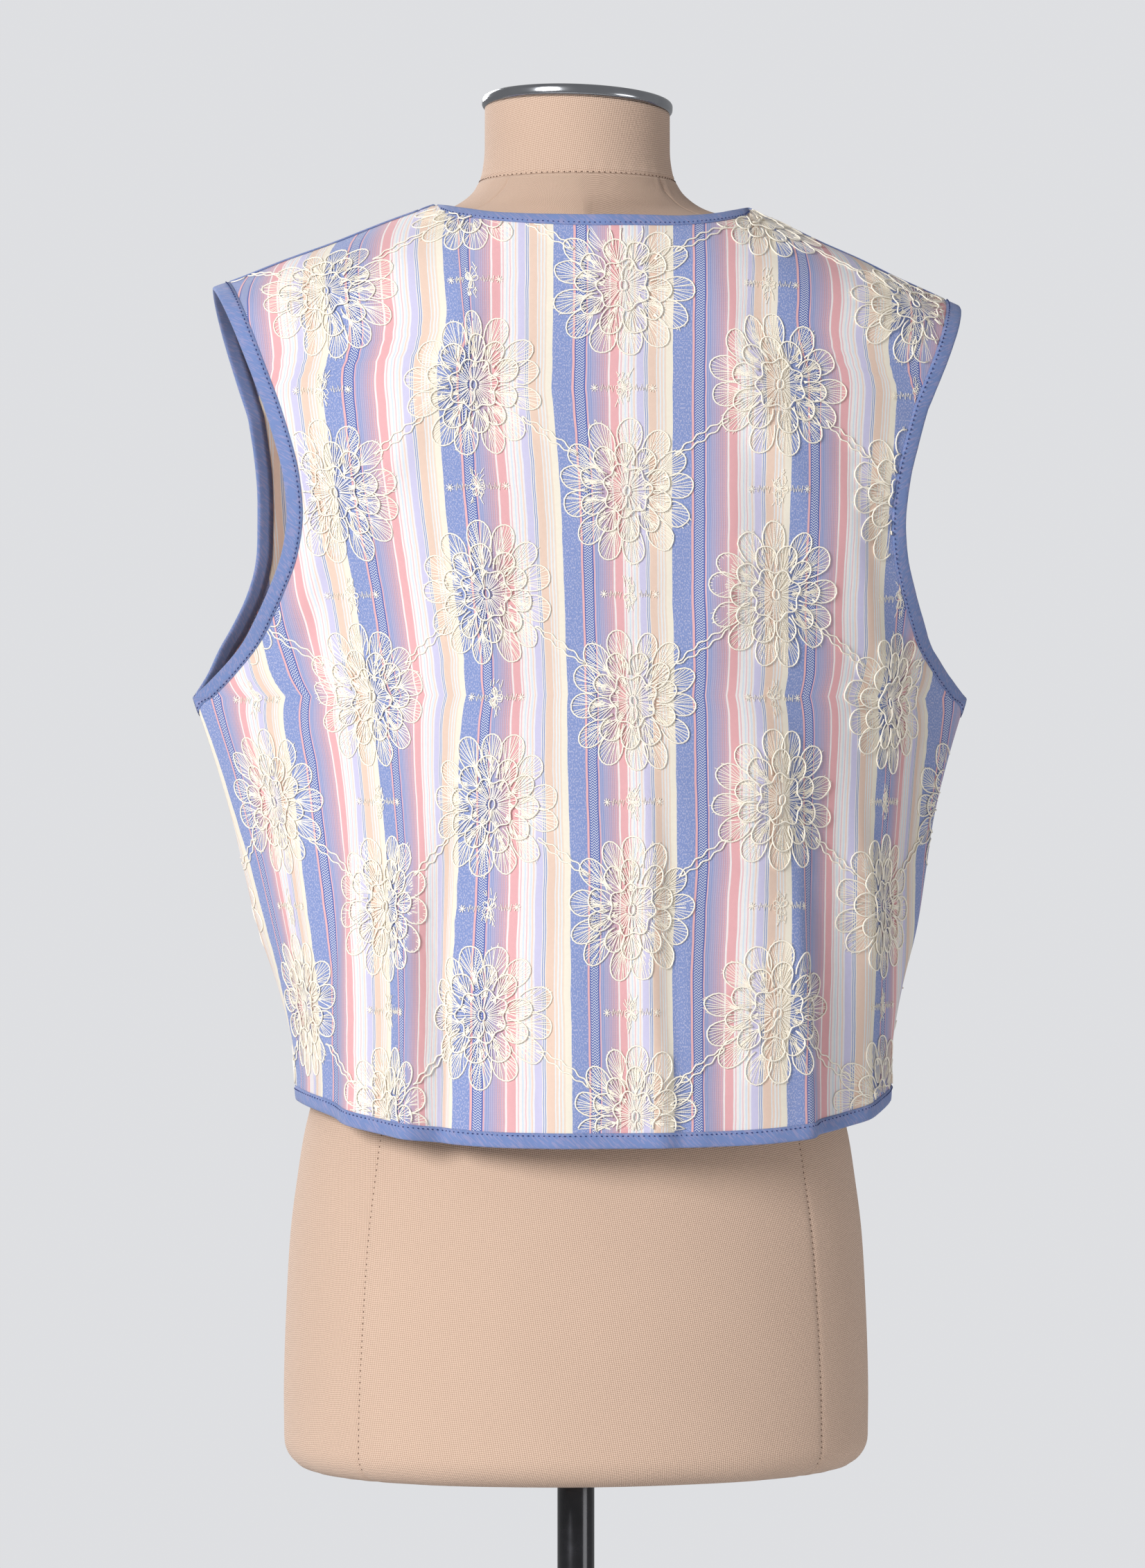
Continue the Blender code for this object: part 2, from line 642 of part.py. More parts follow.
def build_hem_binding(panels, tape):
    """One strip round the hem, from the left front edge round the back to the right front edge."""
    left, back, right = panels["front_panel_left"], panels["back_panel"], panels["front_panel_right"]
    last = back[0].shape[1] - 1
    front_last = left[0].shape[1] - 1
    stations = [station(left, (0, c), (1, c)) for c in range(1, front_last)]
    front_end = station(left, (0, front_last), (1, front_last))
    stations.append(middle_of(front_end, station(back, (0, last), (1, last))))
    stations += [station(back, (0, c), (1, c)) for c in range(last - 1, 0, -1)]
    front_end = station(right, (0, front_last), (1, front_last))
    stations.append(middle_of(front_end, station(back, (0, 0), (1, 0))))
    stations += [station(right, (0, c), (1, c)) for c in range(front_last - 1, 0, -1)]
    stations[0] = slid(stations[0], stations[1], 2 * FIT_GAP)
    stations[-1] = slid(stations[-1], stations[-2], 2 * FIT_GAP)
    add_binding("hem_binding", stations, tape)


def build_armhole_binding(name, back, back_column, front, seam_row, tape):
    """One strip round an armhole: up the back from the underarm, over the shoulder and down the front."""
    rows = back[0].shape[0]
    step = -1 if back_column else 1
    front_column = front[0].shape[1] - 1
    rise = [station(back, (r, back_column), (r, back_column + step)) for r in range(seam_row, rows)]
    fall = [station(front, (r, front_column), (r, front_column - 1)) for r in range(rows - 1, seam_row - 1, -1)]
    rise = corner_stations(back, seam_row, back_column, rise)
    point = station(front, (seam_row, front_column), (seam_row - 1, front_column - 1))
    fall = corner_stations(front, seam_row, front_column, fall[::-1], point)[::-1]
    over = middle_of(rise[-1], fall[0])
    stations = rise[:-1] + [over] + fall[1:]
    add_binding(name, stations, tape)


def corner_stations(panel, seam_row, column, run, point=None):
    """Opens an armhole run with its end on the side seam, and with the cell's far point if it is given."""
    lifted = [station(panel, (seam_row, column), (seam_row - 1, column))]
    corner = [(CORNER_SHARE / 2, point)] if point else []
    for share, place in corner + [(CORNER_SHARE, run[0])]:
        edge = place.edge + (run[1].edge - place.edge) * share
        half = place.edge_half + (run[1].edge_half - place.edge_half) * share
        lifted.append(place._replace(edge=edge, edge_half=half))
    return lifted + run[1:]


def build_neck_bindings(panels, tape):
    """The back neck strip, and a strip down each front: neckline, then front edge."""
    back = panels["back_panel"]
    top = back[0].shape[0] - 1
    middle = back[0].shape[1] // 2
    left, right = middle + BACK_NECK_COLUMN, middle - BACK_NECK_COLUMN
    stations = [station(back, (top, c), (top - 1, c)) for c in range(right + 1, left)]
    for place, beyond in ((right, -1), (left, 1)):
        end = station(back, (top, place), (top - 1, place), (top, place + beyond))
        stations = [end] + stations if beyond < 0 else stations + [end]
    stations[0] = slid(stations[0], stations[1], FIT_GAP)
    stations[-1] = slid(stations[-1], stations[-2], FIT_GAP)
    add_binding("neck_binding", stations, tape)
    for side in ("left", "right"):
        front = panels["front_panel_" + side]
        down = [station(front, (r, 0), (r, 1)) for r in range(top, -1, -1)]
        add_binding("front_edge_binding_" + side, down, tape)


def build_shoulder_tapes(panels, tape):
    """A narrow tape over each shoulder seam, laid on both panels' top rows."""
    reach = SHOULDER_TAPE_HALF_WIDTH / NECK_BINDING_WIDTH
    near = 1.0 + FIT_GAP / (WALL / 2)
    far = 1.0 + (FIT_GAP + TAPE_THICKNESS) / (WALL / 2)
    for side, sign in (("left", 1), ("right", -1)):
        front, back = panels["front_panel_" + side], panels["back_panel"]
        top, ridge_column = back[0].shape[0] - 1, back[0].shape[1] // 2 + sign * BACK_NECK_COLUMN
        start, end = back[0][top, ridge_column], back[0][top, 0 if sign < 0 else -1]
        length = np.linalg.norm(end - start)
        first_clear = (FRONT_BINDING_WIDTH + 2 * FIT_GAP) / length
        clear = first_clear, 1.0 - (ARMHOLE_BINDING_WIDTH + 2 * FIT_GAP) / length
        sections = []
        for place in np.linspace(*clear, SHOULDER_TAPE_SECTIONS):
            behind, before = edge_cell(back, top, place, ridge_column, sign), edge_cell(front, top, place, 0, 1)
            ridge, ridge_half = (behind[0] + before[0]) / 2, (behind[1] + before[1]) / 2
            fall = 1 - reach
            back_at, back_half = (low + (high - low) * fall for high, low in zip(behind[:2], behind[2:]))
            front_at, front_half = (low + (high - low) * fall for high, low in zip(before[:2], before[2:]))
            upper = [back_at + back_half * far, ridge + ridge_half * far, front_at + front_half * far]
            lower = [front_at + front_half * near, ridge + ridge_half * near, back_at + back_half * near]
            sections.append(np.array(upper + lower))
        add_strip("shoulder_tape_" + side, sections, tape)


def edge_cell(panel, top, place, first, step):
    """The panel's top edge, the row under it and their half-thickness vectors, a share along the shoulder."""
    points, halves = panel
    count = points.shape[1] - 1 - first if step > 0 else first
    columns = [first + step * c for c in range(count + 1)]
    along = np.linalg.norm(points[top, columns] - points[top, first], axis=1)
    found = []
    for values in (points[top], halves[top], points[top - 1], halves[top - 1]):
        reached = [np.interp(place * along[-1], along, values[columns, axis]) for axis in range(3)]
        found.append(np.array(reached))
    return found


def build_form(canvas, chrome):
    """The canvas body with its pole socket, the canvas neck and the chrome neck plate."""
    rings = [inset_ring(FORM_ROWS[0], FORM_EDGE_RADIUS * 2, 0.0)]
    for step in range(FORM_EDGE_STEPS):
        turn = math.pi / 2 * step / FORM_EDGE_STEPS
        inset = FORM_EDGE_RADIUS * (1.0 - math.sin(turn))
        rings.append(inset_ring(FORM_ROWS[0], inset, FORM_EDGE_RADIUS * (1.0 - math.cos(turn))))
    rings += [ring_points(row, row.z) for row in FORM_ROWS]
    body = add_loft("form_body", rings, canvas, sharp_angle=60.0)
    bpy.ops.mesh.primitive_cylinder_add(
        vertices=ROUND_SEGMENTS,
        radius=(POLE_RADIUS + FIT_GAP) * MM,
        depth=2 * POLE_SOCKET_DEPTH * MM,
        location=(0.0, 0.0, STAND_HEIGHT * MM),
    )
    bore = bpy.context.object
    bore.name = "pole_socket_cutter"
    bore.hide_render = True
    bore.display_type = "WIRE"
    cut = body.modifiers.new("pole socket", "BOOLEAN")
    cut.operation = "DIFFERENCE"
    cut.object = bore
    add_loft("form_neck", [tilted_circle(row.radius, row.z) for row in NECK_ROWS], canvas)
    plate_foot = NECK_ROWS[-1].z + FIT_GAP
    plate = [
        (NECK_PLATE_RADIUS - NECK_PLATE_EDGE, 0.0),
        (NECK_PLATE_RADIUS, NECK_PLATE_EDGE),
        (NECK_PLATE_RADIUS, NECK_PLATE_THICKNESS - NECK_PLATE_EDGE),
        (NECK_PLATE_RADIUS - NECK_PLATE_EDGE, NECK_PLATE_THICKNESS),
    ]
    add_loft("neck_plate", [tilted_circle(radius, plate_foot + height) for radius, height in plate], chrome)


def build_stand(black):
    """The round pole, which ends in the form's socket, and the round base plate."""
    base = [
        (BASE_RADIUS, 0.0),
        (BASE_RADIUS, BASE_THICKNESS - BASE_EDGE),
        (BASE_RADIUS - BASE_EDGE, BASE_THICKNESS),
    ]
    add_turned("stand_base", [(radius, height - STAND_HEIGHT) for radius, height in base], black)
    foot = BASE_THICKNESS + FIT_GAP - STAND_HEIGHT
    add_turned("stand_pole", [(POLE_RADIUS, foot), (POLE_RADIUS, POLE_SOCKET_DEPTH - FIT_GAP)], black)


def main():
    clear_scene()
    cloth = material("striped_cotton", (0.80, 0.72, 0.74), 0.85)
    tape = material("chambray_tape", (0.22, 0.31, 0.58), 0.80)
    canvas = material("linen_canvas", (0.58, 0.41, 0.28), 0.85)
    chrome = material("chrome", (0.75, 0.76, 0.78), 0.12, 1.0)
    black = material("black_metal", (0.02, 0.02, 0.025), 0.25, 0.6)
    panels, seam_row = build_panels(cloth)
    back = panels["back_panel"]
    build_hem_binding(panels, tape)
    last = back[0].shape[1] - 1
    build_armhole_binding("armhole_binding_left", back, last, panels["front_panel_left"], seam_row, tape)
    build_armhole_binding("armhole_binding_right", back, 0, panels["front_panel_right"], seam_row, tape)
    build_neck_bindings(panels, tape)
    build_shoulder_tapes(panels, tape)
    build_form(canvas, chrome)
    build_stand(black)


main()
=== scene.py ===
"""The looks of a sleeveless striped cotton gilet with cord embroidery, on a dress form with a round stand.

Metres, +Z up; the gilet's front faces -Y and the wearer's left side is +X. The tables give millimetres over
the form's underside, as a tailor measures.
"""

import math
import random

import bpy
import numpy as np
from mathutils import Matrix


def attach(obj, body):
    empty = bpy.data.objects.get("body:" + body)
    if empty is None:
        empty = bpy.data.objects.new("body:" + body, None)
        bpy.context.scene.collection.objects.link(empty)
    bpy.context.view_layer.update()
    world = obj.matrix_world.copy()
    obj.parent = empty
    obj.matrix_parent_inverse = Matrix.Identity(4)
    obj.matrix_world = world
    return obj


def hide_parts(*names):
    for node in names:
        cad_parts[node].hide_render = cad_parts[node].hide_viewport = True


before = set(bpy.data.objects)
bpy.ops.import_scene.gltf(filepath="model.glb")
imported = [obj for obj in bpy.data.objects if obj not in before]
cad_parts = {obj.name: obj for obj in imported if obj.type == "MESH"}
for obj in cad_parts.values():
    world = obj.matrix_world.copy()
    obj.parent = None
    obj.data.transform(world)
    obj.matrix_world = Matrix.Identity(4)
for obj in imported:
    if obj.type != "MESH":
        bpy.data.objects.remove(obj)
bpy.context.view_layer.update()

MM = 0.001

# The studio: a round of pale paper under the stand in a pale room, a large soft light from the picture's
# left and weak ones from its right and from the front. The camera stands behind the gilet, level with the
# middle of its back.
FORM_FOOT = 250.0
CAMERA_TURN = math.radians(174.0)
CAMERA_DISTANCE = 3.2
CAMERA_HEIGHT = (FORM_FOOT + 403.0) * MM
POLE_OFF_CENTRE = 0.002
PICTURE_HEIGHT_AT_POLE = 0.930
SENSOR_HEIGHT = 36.0
PICTURE_PIXELS = (1652, 2263)
PAPER_RADIUS = 1.25
PAPER_THICKNESS = 0.002


def linear(hex_colour):
    """A colour as the shaders take it, from the six digits of its screen value."""
    parts = [int(hex_colour[place:place + 2], 16) / 255.0 for place in (0, 2, 4)]
    light = [part / 12.92 if part <= 0.04045 else ((part + 0.055) / 1.055) ** 2.4 for part in parts]
    return (*light, 1.0)


def plain_material(name, roughness, **sockets):
    """A Principled material. Returns it with its node tree and shader."""
    made = bpy.data.materials.new(name)
    made.use_nodes = True
    shader = made.node_tree.nodes["Principled BSDF"]
    shader.inputs["Roughness"].default_value = roughness
    for socket, value in sockets.items():
        shader.inputs[socket.replace("_", " ")].default_value = value
    return made, made.node_tree, shader


def add_node(tree, kind, inputs=(), **settings):
    """A node with its settings, and its inputs set to values or linked from sockets."""
    made = tree.nodes.new(kind)
    for name, value in settings.items():
        setattr(made, name, value)
    for key, value in dict(inputs).items():
        if isinstance(value, bpy.types.NodeSocket):
            tree.links.new(value, made.inputs[key])
        else:
            made.inputs[key].default_value = value
    return made


def calc(tree, operation, *values):
    """The output of a Math node."""
    return add_node(tree, "ShaderNodeMath", dict(enumerate(values)), operation=operation).outputs[0]


def mixed(tree, share, first, second, blend="MIX"):
    """The colour output of a Mix node."""
    colours = {0: share, 6: first, 7: second}
    return add_node(tree, "ShaderNodeMix", colours, data_type="RGBA", blend_type=blend).outputs[2]


def noise(tree, place, scale, detail=2.0):
    """The output of a Noise texture at a place."""
    inputs = {"Vector": place, "Scale": scale, "Detail": detail}
    return add_node(tree, "ShaderNodeTexNoise", inputs).outputs["Fac"]


def mottled_material(name, roughness, scale, dark, light, detail=2.0, wear=None, **sockets):
    """A material mottled in two tones. Wear is how far the mottle raises the roughness, and its least."""
    made, tree, shader = plain_material(name, roughness, **sockets)
    mottle = noise(tree, add_node(tree, "ShaderNodeTexCoord").outputs["Object"], scale, detail)
    tree.links.new(mixed(tree, mottle, linear(dark), linear(light)), shader.inputs["Base Color"])
    if wear:
        tree.links.new(calc(tree, "MULTIPLY_ADD", mottle, *wear), shader.inputs["Roughness"])
    return made


def wave(tree, value, pitch):
    """A sine of a length in metres, with its pitch in millimetres."""
    return calc(tree, "SINE", calc(tree, "DIVIDE", value, pitch * MM / (2 * math.pi)))


forward = np.array([-math.sin(CAMERA_TURN), math.cos(CAMERA_TURN), 0.0])
rightward = np.array([math.cos(CAMERA_TURN), math.sin(CAMERA_TURN), 0.0])
camera_data = bpy.data.cameras.new("camera")
camera_data.sensor_fit = "VERTICAL"
camera_data.sensor_height = SENSOR_HEIGHT
camera_data.sensor_width = SENSOR_HEIGHT * PICTURE_PIXELS[0] / PICTURE_PIXELS[1]
camera_data.lens = SENSOR_HEIGHT * CAMERA_DISTANCE / PICTURE_HEIGHT_AT_POLE
camera = bpy.data.objects.new("camera", camera_data)
camera.location = (0.0, 0.0, CAMERA_HEIGHT) - forward * CAMERA_DISTANCE - rightward * POLE_OFF_CENTRE
camera.rotation_euler = (math.pi / 2, 0.0, CAMERA_TURN)
bpy.context.collection.objects.link(camera)
bpy.context.scene.camera = camera


def deselect_all():
    for thing in bpy.context.selected_objects:
        thing.select_set(False)


deselect_all()
bpy.ops.mesh.primitive_cylinder_add(vertices=192, radius=PAPER_RADIUS, depth=PAPER_THICKNESS)
paper = bpy.context.object
paper.name = "paper_floor"
bpy.ops.object.mode_set(mode="EDIT")
bpy.ops.transform.translate(value=(0.0, 0.0, -PAPER_THICKNESS / 2))
bpy.ops.object.mode_set(mode="OBJECT")
paper.data.materials.append(mottled_material("pale_paper", 0.9, 3.0, "E2E2E2", "E5E5E4"))

world = bpy.data.worlds.new("studio_air")
world.use_nodes = True
air = world.node_tree
seen = add_node(air, "ShaderNodeLightPath").outputs["Is Camera Ray"]
air_light = air.nodes["Background"]
air_light.inputs["Color"].default_value = linear("F4F5F8")
air.links.new(calc(air, "MULTIPLY_ADD", seen, 0.47, 0.34), air_light.inputs["Strength"])
bpy.context.scene.world = world
bpy.context.scene.view_settings.view_transform = "Standard"
for name, place, aim, size, power in (
    ("key_light", (2.5, 2.75, 1.8), (0.0, 0.0, 0.72), 1.5, 145.0),
    ("fill_light", (-2.5, 1.9, 0.4), (0.0, 0.0, 0.5), 1.4, 17.0),
    ("front_light", (1.3, -3.2, 2.2), (0.0, 0.0, 0.7), 1.8, 70.0),
):
    lamp_data = bpy.data.lights.new(name, "AREA")
    lamp_data.shape = "DISK"
    lamp_data.size = size
    lamp_data.energy = power
    lamp = bpy.data.objects.new(name, lamp_data)
    lamp.location = place
    toward = np.array(aim) - np.array(place)
    flat_reach = math.hypot(toward[0], toward[1])
    tilt = math.pi / 2 + math.atan2(toward[2], flat_reach)
    lamp.rotation_euler = (tilt, 0.0, math.atan2(-toward[0], toward[1]))
    bpy.context.collection.objects.link(lamp)

# The back panel: striped cotton cut in one piece from hem to shoulders, hanging free of the form below the
# shoulder blades. Its surface runs through the same rows as the solid it stands for, with softer and finer
# folds.
WALL = 1.1
SEAM_SHIFT = 0.15
SEAM_COLUMNS = ("edge_z", "back_z", "front_z", "half", "shift", "edge_y", "back_y", "front_y", "corner")
SEAM_ROWS = np.array([
    (218, 197.5, 199, 175.0, -9.5, 14, 150, -122, 1.90),
    (251, 234.0, 234, 177.5, -9.0, 14, 149, -121, 1.75),
    (284, 272.0, 271, 185.0, -8.2, 12, 147, -120, 1.60),
    (317, 310.0, 309, 195.0, -7.2, 10, 143, -120, 1.45),
    (350, 347.0, 346, 202.0, -6.0, 8, 138, -120, 1.30),
    (383, 382.0, 381, 208.5, -5.0, 5, 132, -121, 1.20),
    (416, 416.0, 416, 217.5, -4.5, 2, 126, -123, 1.10),
    (454, 454.0, 454, 229.5, -4.0, 0, 120, -124, 1.00),
])
# Over the underarm: height at the edge and in the middle, half width, shift, and depth at the edge and in
# the middle.
ARM_ROWS = {
    "back": [
        (468, 470, 216.0, -4.3, 14, 118.0),
        (483, 488, 204.0, -4.6, 27, 116.5),
        (498, 506, 196.5, -4.9, 40, 115.0),
        (516, 526, 189.0, -5.2, 52, 114.0),
        (536, 548, 182.5, -5.5, 62, 113.0),
        (558, 572, 180.0, -5.8, 68, 112.0),
        (582, 598, 182.5, -6.0, 69, 110.5),
        (602, 620, 187.5, -6.2, 66, 109.0),
        (622, 641, 193.5, -6.3, 61, 107.0),
    ],
    "front": [
        (468, 470, 221.0, -4.3, -12, -125.0),
        (483, 488, 214.0, -4.6, -26, -126.0),
        (498, 506, 205.5, -4.9, -40, -126.0),
        (516, 526, 197.0, -5.2, -52, -124.0),
        (536, 548, 191.5, -5.5, -61, -121.0),
        (558, 572, 190.5, -5.8, -66, -116.0),
        (582, 598, 191.0, -6.0, -66, -109.0),
        (602, 620, 193.5, -6.2, -62, -102.0),
        (622, 641, 197.0, -6.3, -56, -95.0),
    ],
}
UNDERARM = len(SEAM_ROWS) - 1
YOKE = UNDERARM + len(ARM_ROWS["back"])
CHEST_ROUNDNESS = 2.2
YOKE_ROUNDNESS = 2.4
HEM_SIDE_RISE_POWER = 4.0
NECK_POINT = (93.0, 25.0, 742.3)
SHOULDER_TIP = (221.0, 10.0)
SHOULDER_DROP = 51.9
SHOULDER_DROP_UNEVENNESS = 3.3
SHOULDER_ROLL = math.radians(78.0)
SHOULDER_FULLNESS = 1.4
TOP_SHIFT = -6.5
NECK_SHARE = NECK_POINT[0] / SHOULDER_TIP[0]
BACK_NECK_Z = 730.3
BACK_NECK_SQUARENESS = 4.0
LOW_ROWS = 62
HIGH_ROWS = 76
BACK_PANEL_COLUMNS = 141
KINK_SOFTNESS = 3
EASED_TO = (0.86, 0.99)
SAMPLES = 200
SHARE_SLACK = 1e-6
MITRE_LIMIT = 0.55

# Each fold: its panel, x and z of its foot and of its head, its width, and how far it stands out or sinks.
FOLDS = [
    ("back", 128, 205, 105, 455, 20, 4.0),
    ("back", 158, 210, 150, 420, 14, -3.0),
    ("back", 84, 215, 72, 380, 17, -3.0),
    ("back", -108, 200, -92, 450, 21, 4.0),
    ("back", -66, 225, -60, 350, 15, -2.5),
    ("back", -146, 215, -138, 400, 15, -3.0),
    ("back", 30, 200, 20, 330, 22, 2.0),
    ("back", 150, 520, 110, 640, 20, 2.5),
    ("back", -152, 500, -118, 625, 20, 2.5),
    ("back", 108, 190, 103, 350, 8, 7.0),
    ("back", 95, 190, 91, 345, 7, -6.0),
    ("back", 140, 215, 134, 375, 8, 4.0),
    ("back", 152, 215, 147, 365, 7, -3.0),
    ("back", -30, 250, -26, 400, 8, 3.0),
    ("back", -42, 240, -38, 380, 8, -2.6),
    ("back", -118, 205, -114, 345, 8, 4.4),
    ("back", -131, 205, -127, 330, 8, -4.0),
    ("back", -160, 230, -158, 380, 8, 4.0),
    ("back", 36, 200, 34, 300, 9, -2.6),
    ("back", 182, 470, 158, 540, 10, 3.4),
    ("back", 168, 450, 142, 560, 9, -2.6),
    ("back", -176, 455, -150, 560, 10, 3.0),
    ("back", 60, 440, 66, 560, 12, 2.4),
    ("back", -70, 470, -78, 600, 13, 2.6),
    ("back", 128, 560, 60, 700, 12, 2.6),
    ("back", -120, 560, -70, 690, 12, 2.4),
    ("front", 118, 205, 96, 440, 21, 4.0),
    ("front", 72, 215, 64, 380, 16, -3.0),
    ("front", -124, 205, -104, 445, 20, 4.0),
    ("front", -80, 210, -66, 395, 17, -3.0),
    ("front", 100, 200, 92, 330, 7, 2.2),
    ("front", 148, 215, 138, 370, 9, -2.2),
    ("front", -98, 200, -88, 350, 7, 2.2),
    ("front", -152, 215, -140, 360, 9, -2.4),
    ("front", 150, 480, 112, 560, 12, 2.4),
    ("front", -154, 480, -116, 550, 12, 2.2),
    ("front", 40, 230, 36, 340, 10, 1.5),
    ("front", -44, 240, -38, 360, 10, -1.4),
]
FOLD_FADE = 60.0
FADE_STEEPNESS = 4.0
FOLD_SWAY = 1.5
RIPPLE = 0.35
RIPPLE_EDGE_POWER = 16
FOLD_EDGE_POWER = 8.0

# The warp as it hangs: at each height, how far right of the pole, seen from behind, each blue band starts.
BAND_REPEAT = 69.0
BAND_NUMBERS = np.arange(-4, 5)
BAND_ROWS = np.array([
    (236.7, -161, -147, -100, -72.5, -2.0, 55.5, 118.0, 172.0, 205.0),
    (296.0, -174, -152, -102.6, -71.7, -3.0, 54.7, 120.0, 173.0, 200.0),
    (355.6, -190, -159, -105.0, -67.7, -3.0, 57.8, 121.6, 172.5, 200.0),
    (415.0, -209, -165, -112.0, -67.0, -4.8, 57.0, 121.6, 176.0, 206.0),
    (474.0, -230, -178, -120.5, -63.4, -5.5, 56.0, 122.0, 180.0, 211.0),
    (514.0, -250, -190, -127.0, -69.7, -6.7, 55.0, 122.4, 179.0, 235.0),
    (573.5, -265, -201, -138.0, -75.7, -9.0, 55.0, 123.0, 183.0, 247.0),
    (629.0, -275, -208, -146.0, -79.0, -14.0, 55.5, 123.0, 187.0, 255.0),
    (684.5, -279, -210, -148.0, -80.0, -13.0, 56.0, 123.0, 191.0, 262.0),
])
LEAST_STRETCH = 0.75
MOST_STRETCH = 2.1


def totals(steps, axis):
    """Running totals of steps along an axis, with nothing before the first."""
    sums = np.cumsum(steps, axis=axis)
    return np.concatenate([np.zeros_like(sums.take([0], axis=axis)), sums], axis=axis)


def unit(way):
    """A single direction at length one."""
    return way / np.linalg.norm(way)


def units(ways):
    """An array of directions, each at length one."""
    return ways / np.maximum(np.linalg.norm(ways, axis=-1, keepdims=True), 1e-9)


def walked(path):
    """How far each point of a path lies along it."""
    return totals(np.linalg.norm(np.diff(path, axis=0), axis=1), 0)


def through(rows, places):
    """The rows of a table at fractional places, on a smooth curve through them."""
    rows = np.asarray(rows, float)
    low = np.clip(places.astype(int), 0, len(rows) - 2)
    share = (places - low)[..., None]
    padded = np.vstack([2 * rows[0] - rows[1], rows, 2 * rows[-1] - rows[-2]])
    before, start, end, after = (padded[low + step] for step in range(4))
    leave, arrive = (end - before) / 2, (after - start) / 2
    eased = start * (1 + 2 * share) * (1 - share) ** 2 + end * share**2 * (3 - 2 * share)
    return eased + leave * share * (1 - share) ** 2 - arrive * share**2 * (1 - share)


def plain_cloth(side, shares, levels):
    """Points of the cloth without folds. Shares run from -1 to 1 across; levels count the table's rows."""
    names = ("edge_z", side + "_z", "half", "shift", "edge_y", side + "_y")
    picked = [SEAM_COLUMNS.index(name) for name in names]
    reach = np.minimum(np.abs(shares), 1.0)
    low_levels = np.minimum(levels, UNDERARM)
    seam = through(SEAM_ROWS, low_levels)
    low_bow = (1.0 - reach**CHEST_ROUNDNESS) ** (1.0 / seam[..., -1])
    arm_table = np.vstack([SEAM_ROWS[UNDERARM, picked], ARM_ROWS[side]])
    arm = through(arm_table, np.clip(levels - UNDERARM, 0.0, YOKE - UNDERARM))
    rise = np.clip(levels - UNDERARM, 0.0, 1.0)
    high_bow = 1.0 - reach ** (CHEST_ROUNDNESS + rise * (YOKE_ROUNDNESS - CHEST_ROUNDNESS))
    is_low = (levels <= UNDERARM)[..., None]
    chosen = np.where(is_low, seam[..., picked], arm)
    edge_z, mid_z, half, shift, edge_y, mid_y = np.moveaxis(chosen, -1, 0)
    bow = np.where(is_low[..., 0], low_bow, high_bow)
    height = mid_z + (edge_z - mid_z) * reach**HEM_SIDE_RISE_POWER
    below = np.stack([shift + half * shares, edge_y + (mid_y - edge_y) * bow, height], axis=-1)
    beyond = (np.abs(shares) - NECK_SHARE) / (1.0 - NECK_SHARE)
    uneven = -np.sign(shares) * SHOULDER_DROP_UNEVENNESS * np.maximum(beyond, 0.0)
    ridge_y = NECK_POINT[1] + (SHOULDER_TIP[1] - NECK_POINT[1]) * beyond
    ridge_z = NECK_POINT[2] - SHOULDER_DROP * beyond - uneven
    ridge = np.stack([TOP_SHIFT + SHOULDER_TIP[0] * shares, ridge_y, ridge_z], axis=-1)
    turn = np.maximum(levels - YOKE, 0.0) * SHOULDER_ROLL
    climb = np.sin(turn) / math.sin(SHOULDER_ROLL)
    lean = ((1.0 - np.cos(turn)) / (1.0 - math.cos(SHOULDER_ROLL))) ** SHOULDER_FULLNESS
    return below + (ridge - below) * np.stack([climb, lean, climb], axis=-1)


def soft_step(value, start, end):
    """Rises smoothly from 0 at start to 1 at end."""
    share = np.clip((value - start) / (end - start), 0.0, 1.0)
    return share * share * (3 - 2 * share)


def eased_rows(points, shares):
    """The grid with the bend at underarm height eased, apart from its edges."""
    reach = np.arange(-2 * KINK_SOFTNESS, 2 * KINK_SOFTNESS + 1)
    weights = np.exp(-((reach / KINK_SOFTNESS) ** 2) / 2)
    weights /= weights.sum()
    rows = len(points)
    eased = np.zeros(points.shape)
    for step, weight in zip(reach, weights):
        eased += weight * points[np.clip(np.arange(rows) + step, 0, rows - 1)]
    inward = 1.0 - soft_step(np.abs(shares), *EASED_TO)
    near_underarm = np.exp(-(((np.arange(rows) - LOW_ROWS) / (4.0 * KINK_SOFTNESS)) ** 2))
    share = (inward * near_underarm[:, None])[..., None]
    return points * (1.0 - share) + eased * share


def surface_normals(points, side):
    """Unit normals of a grid, pointing out of the garment."""
    along = np.gradient(points, axis=1)
    up = np.gradient(points, axis=0)
    normals = units(np.cross(along, up))
    middle = normals[len(points) // 3, points.shape[1] // 2]
    wanted = 1.0 if side == "back" else -1.0
    return normals if middle[1] * wanted > 0 else -normals


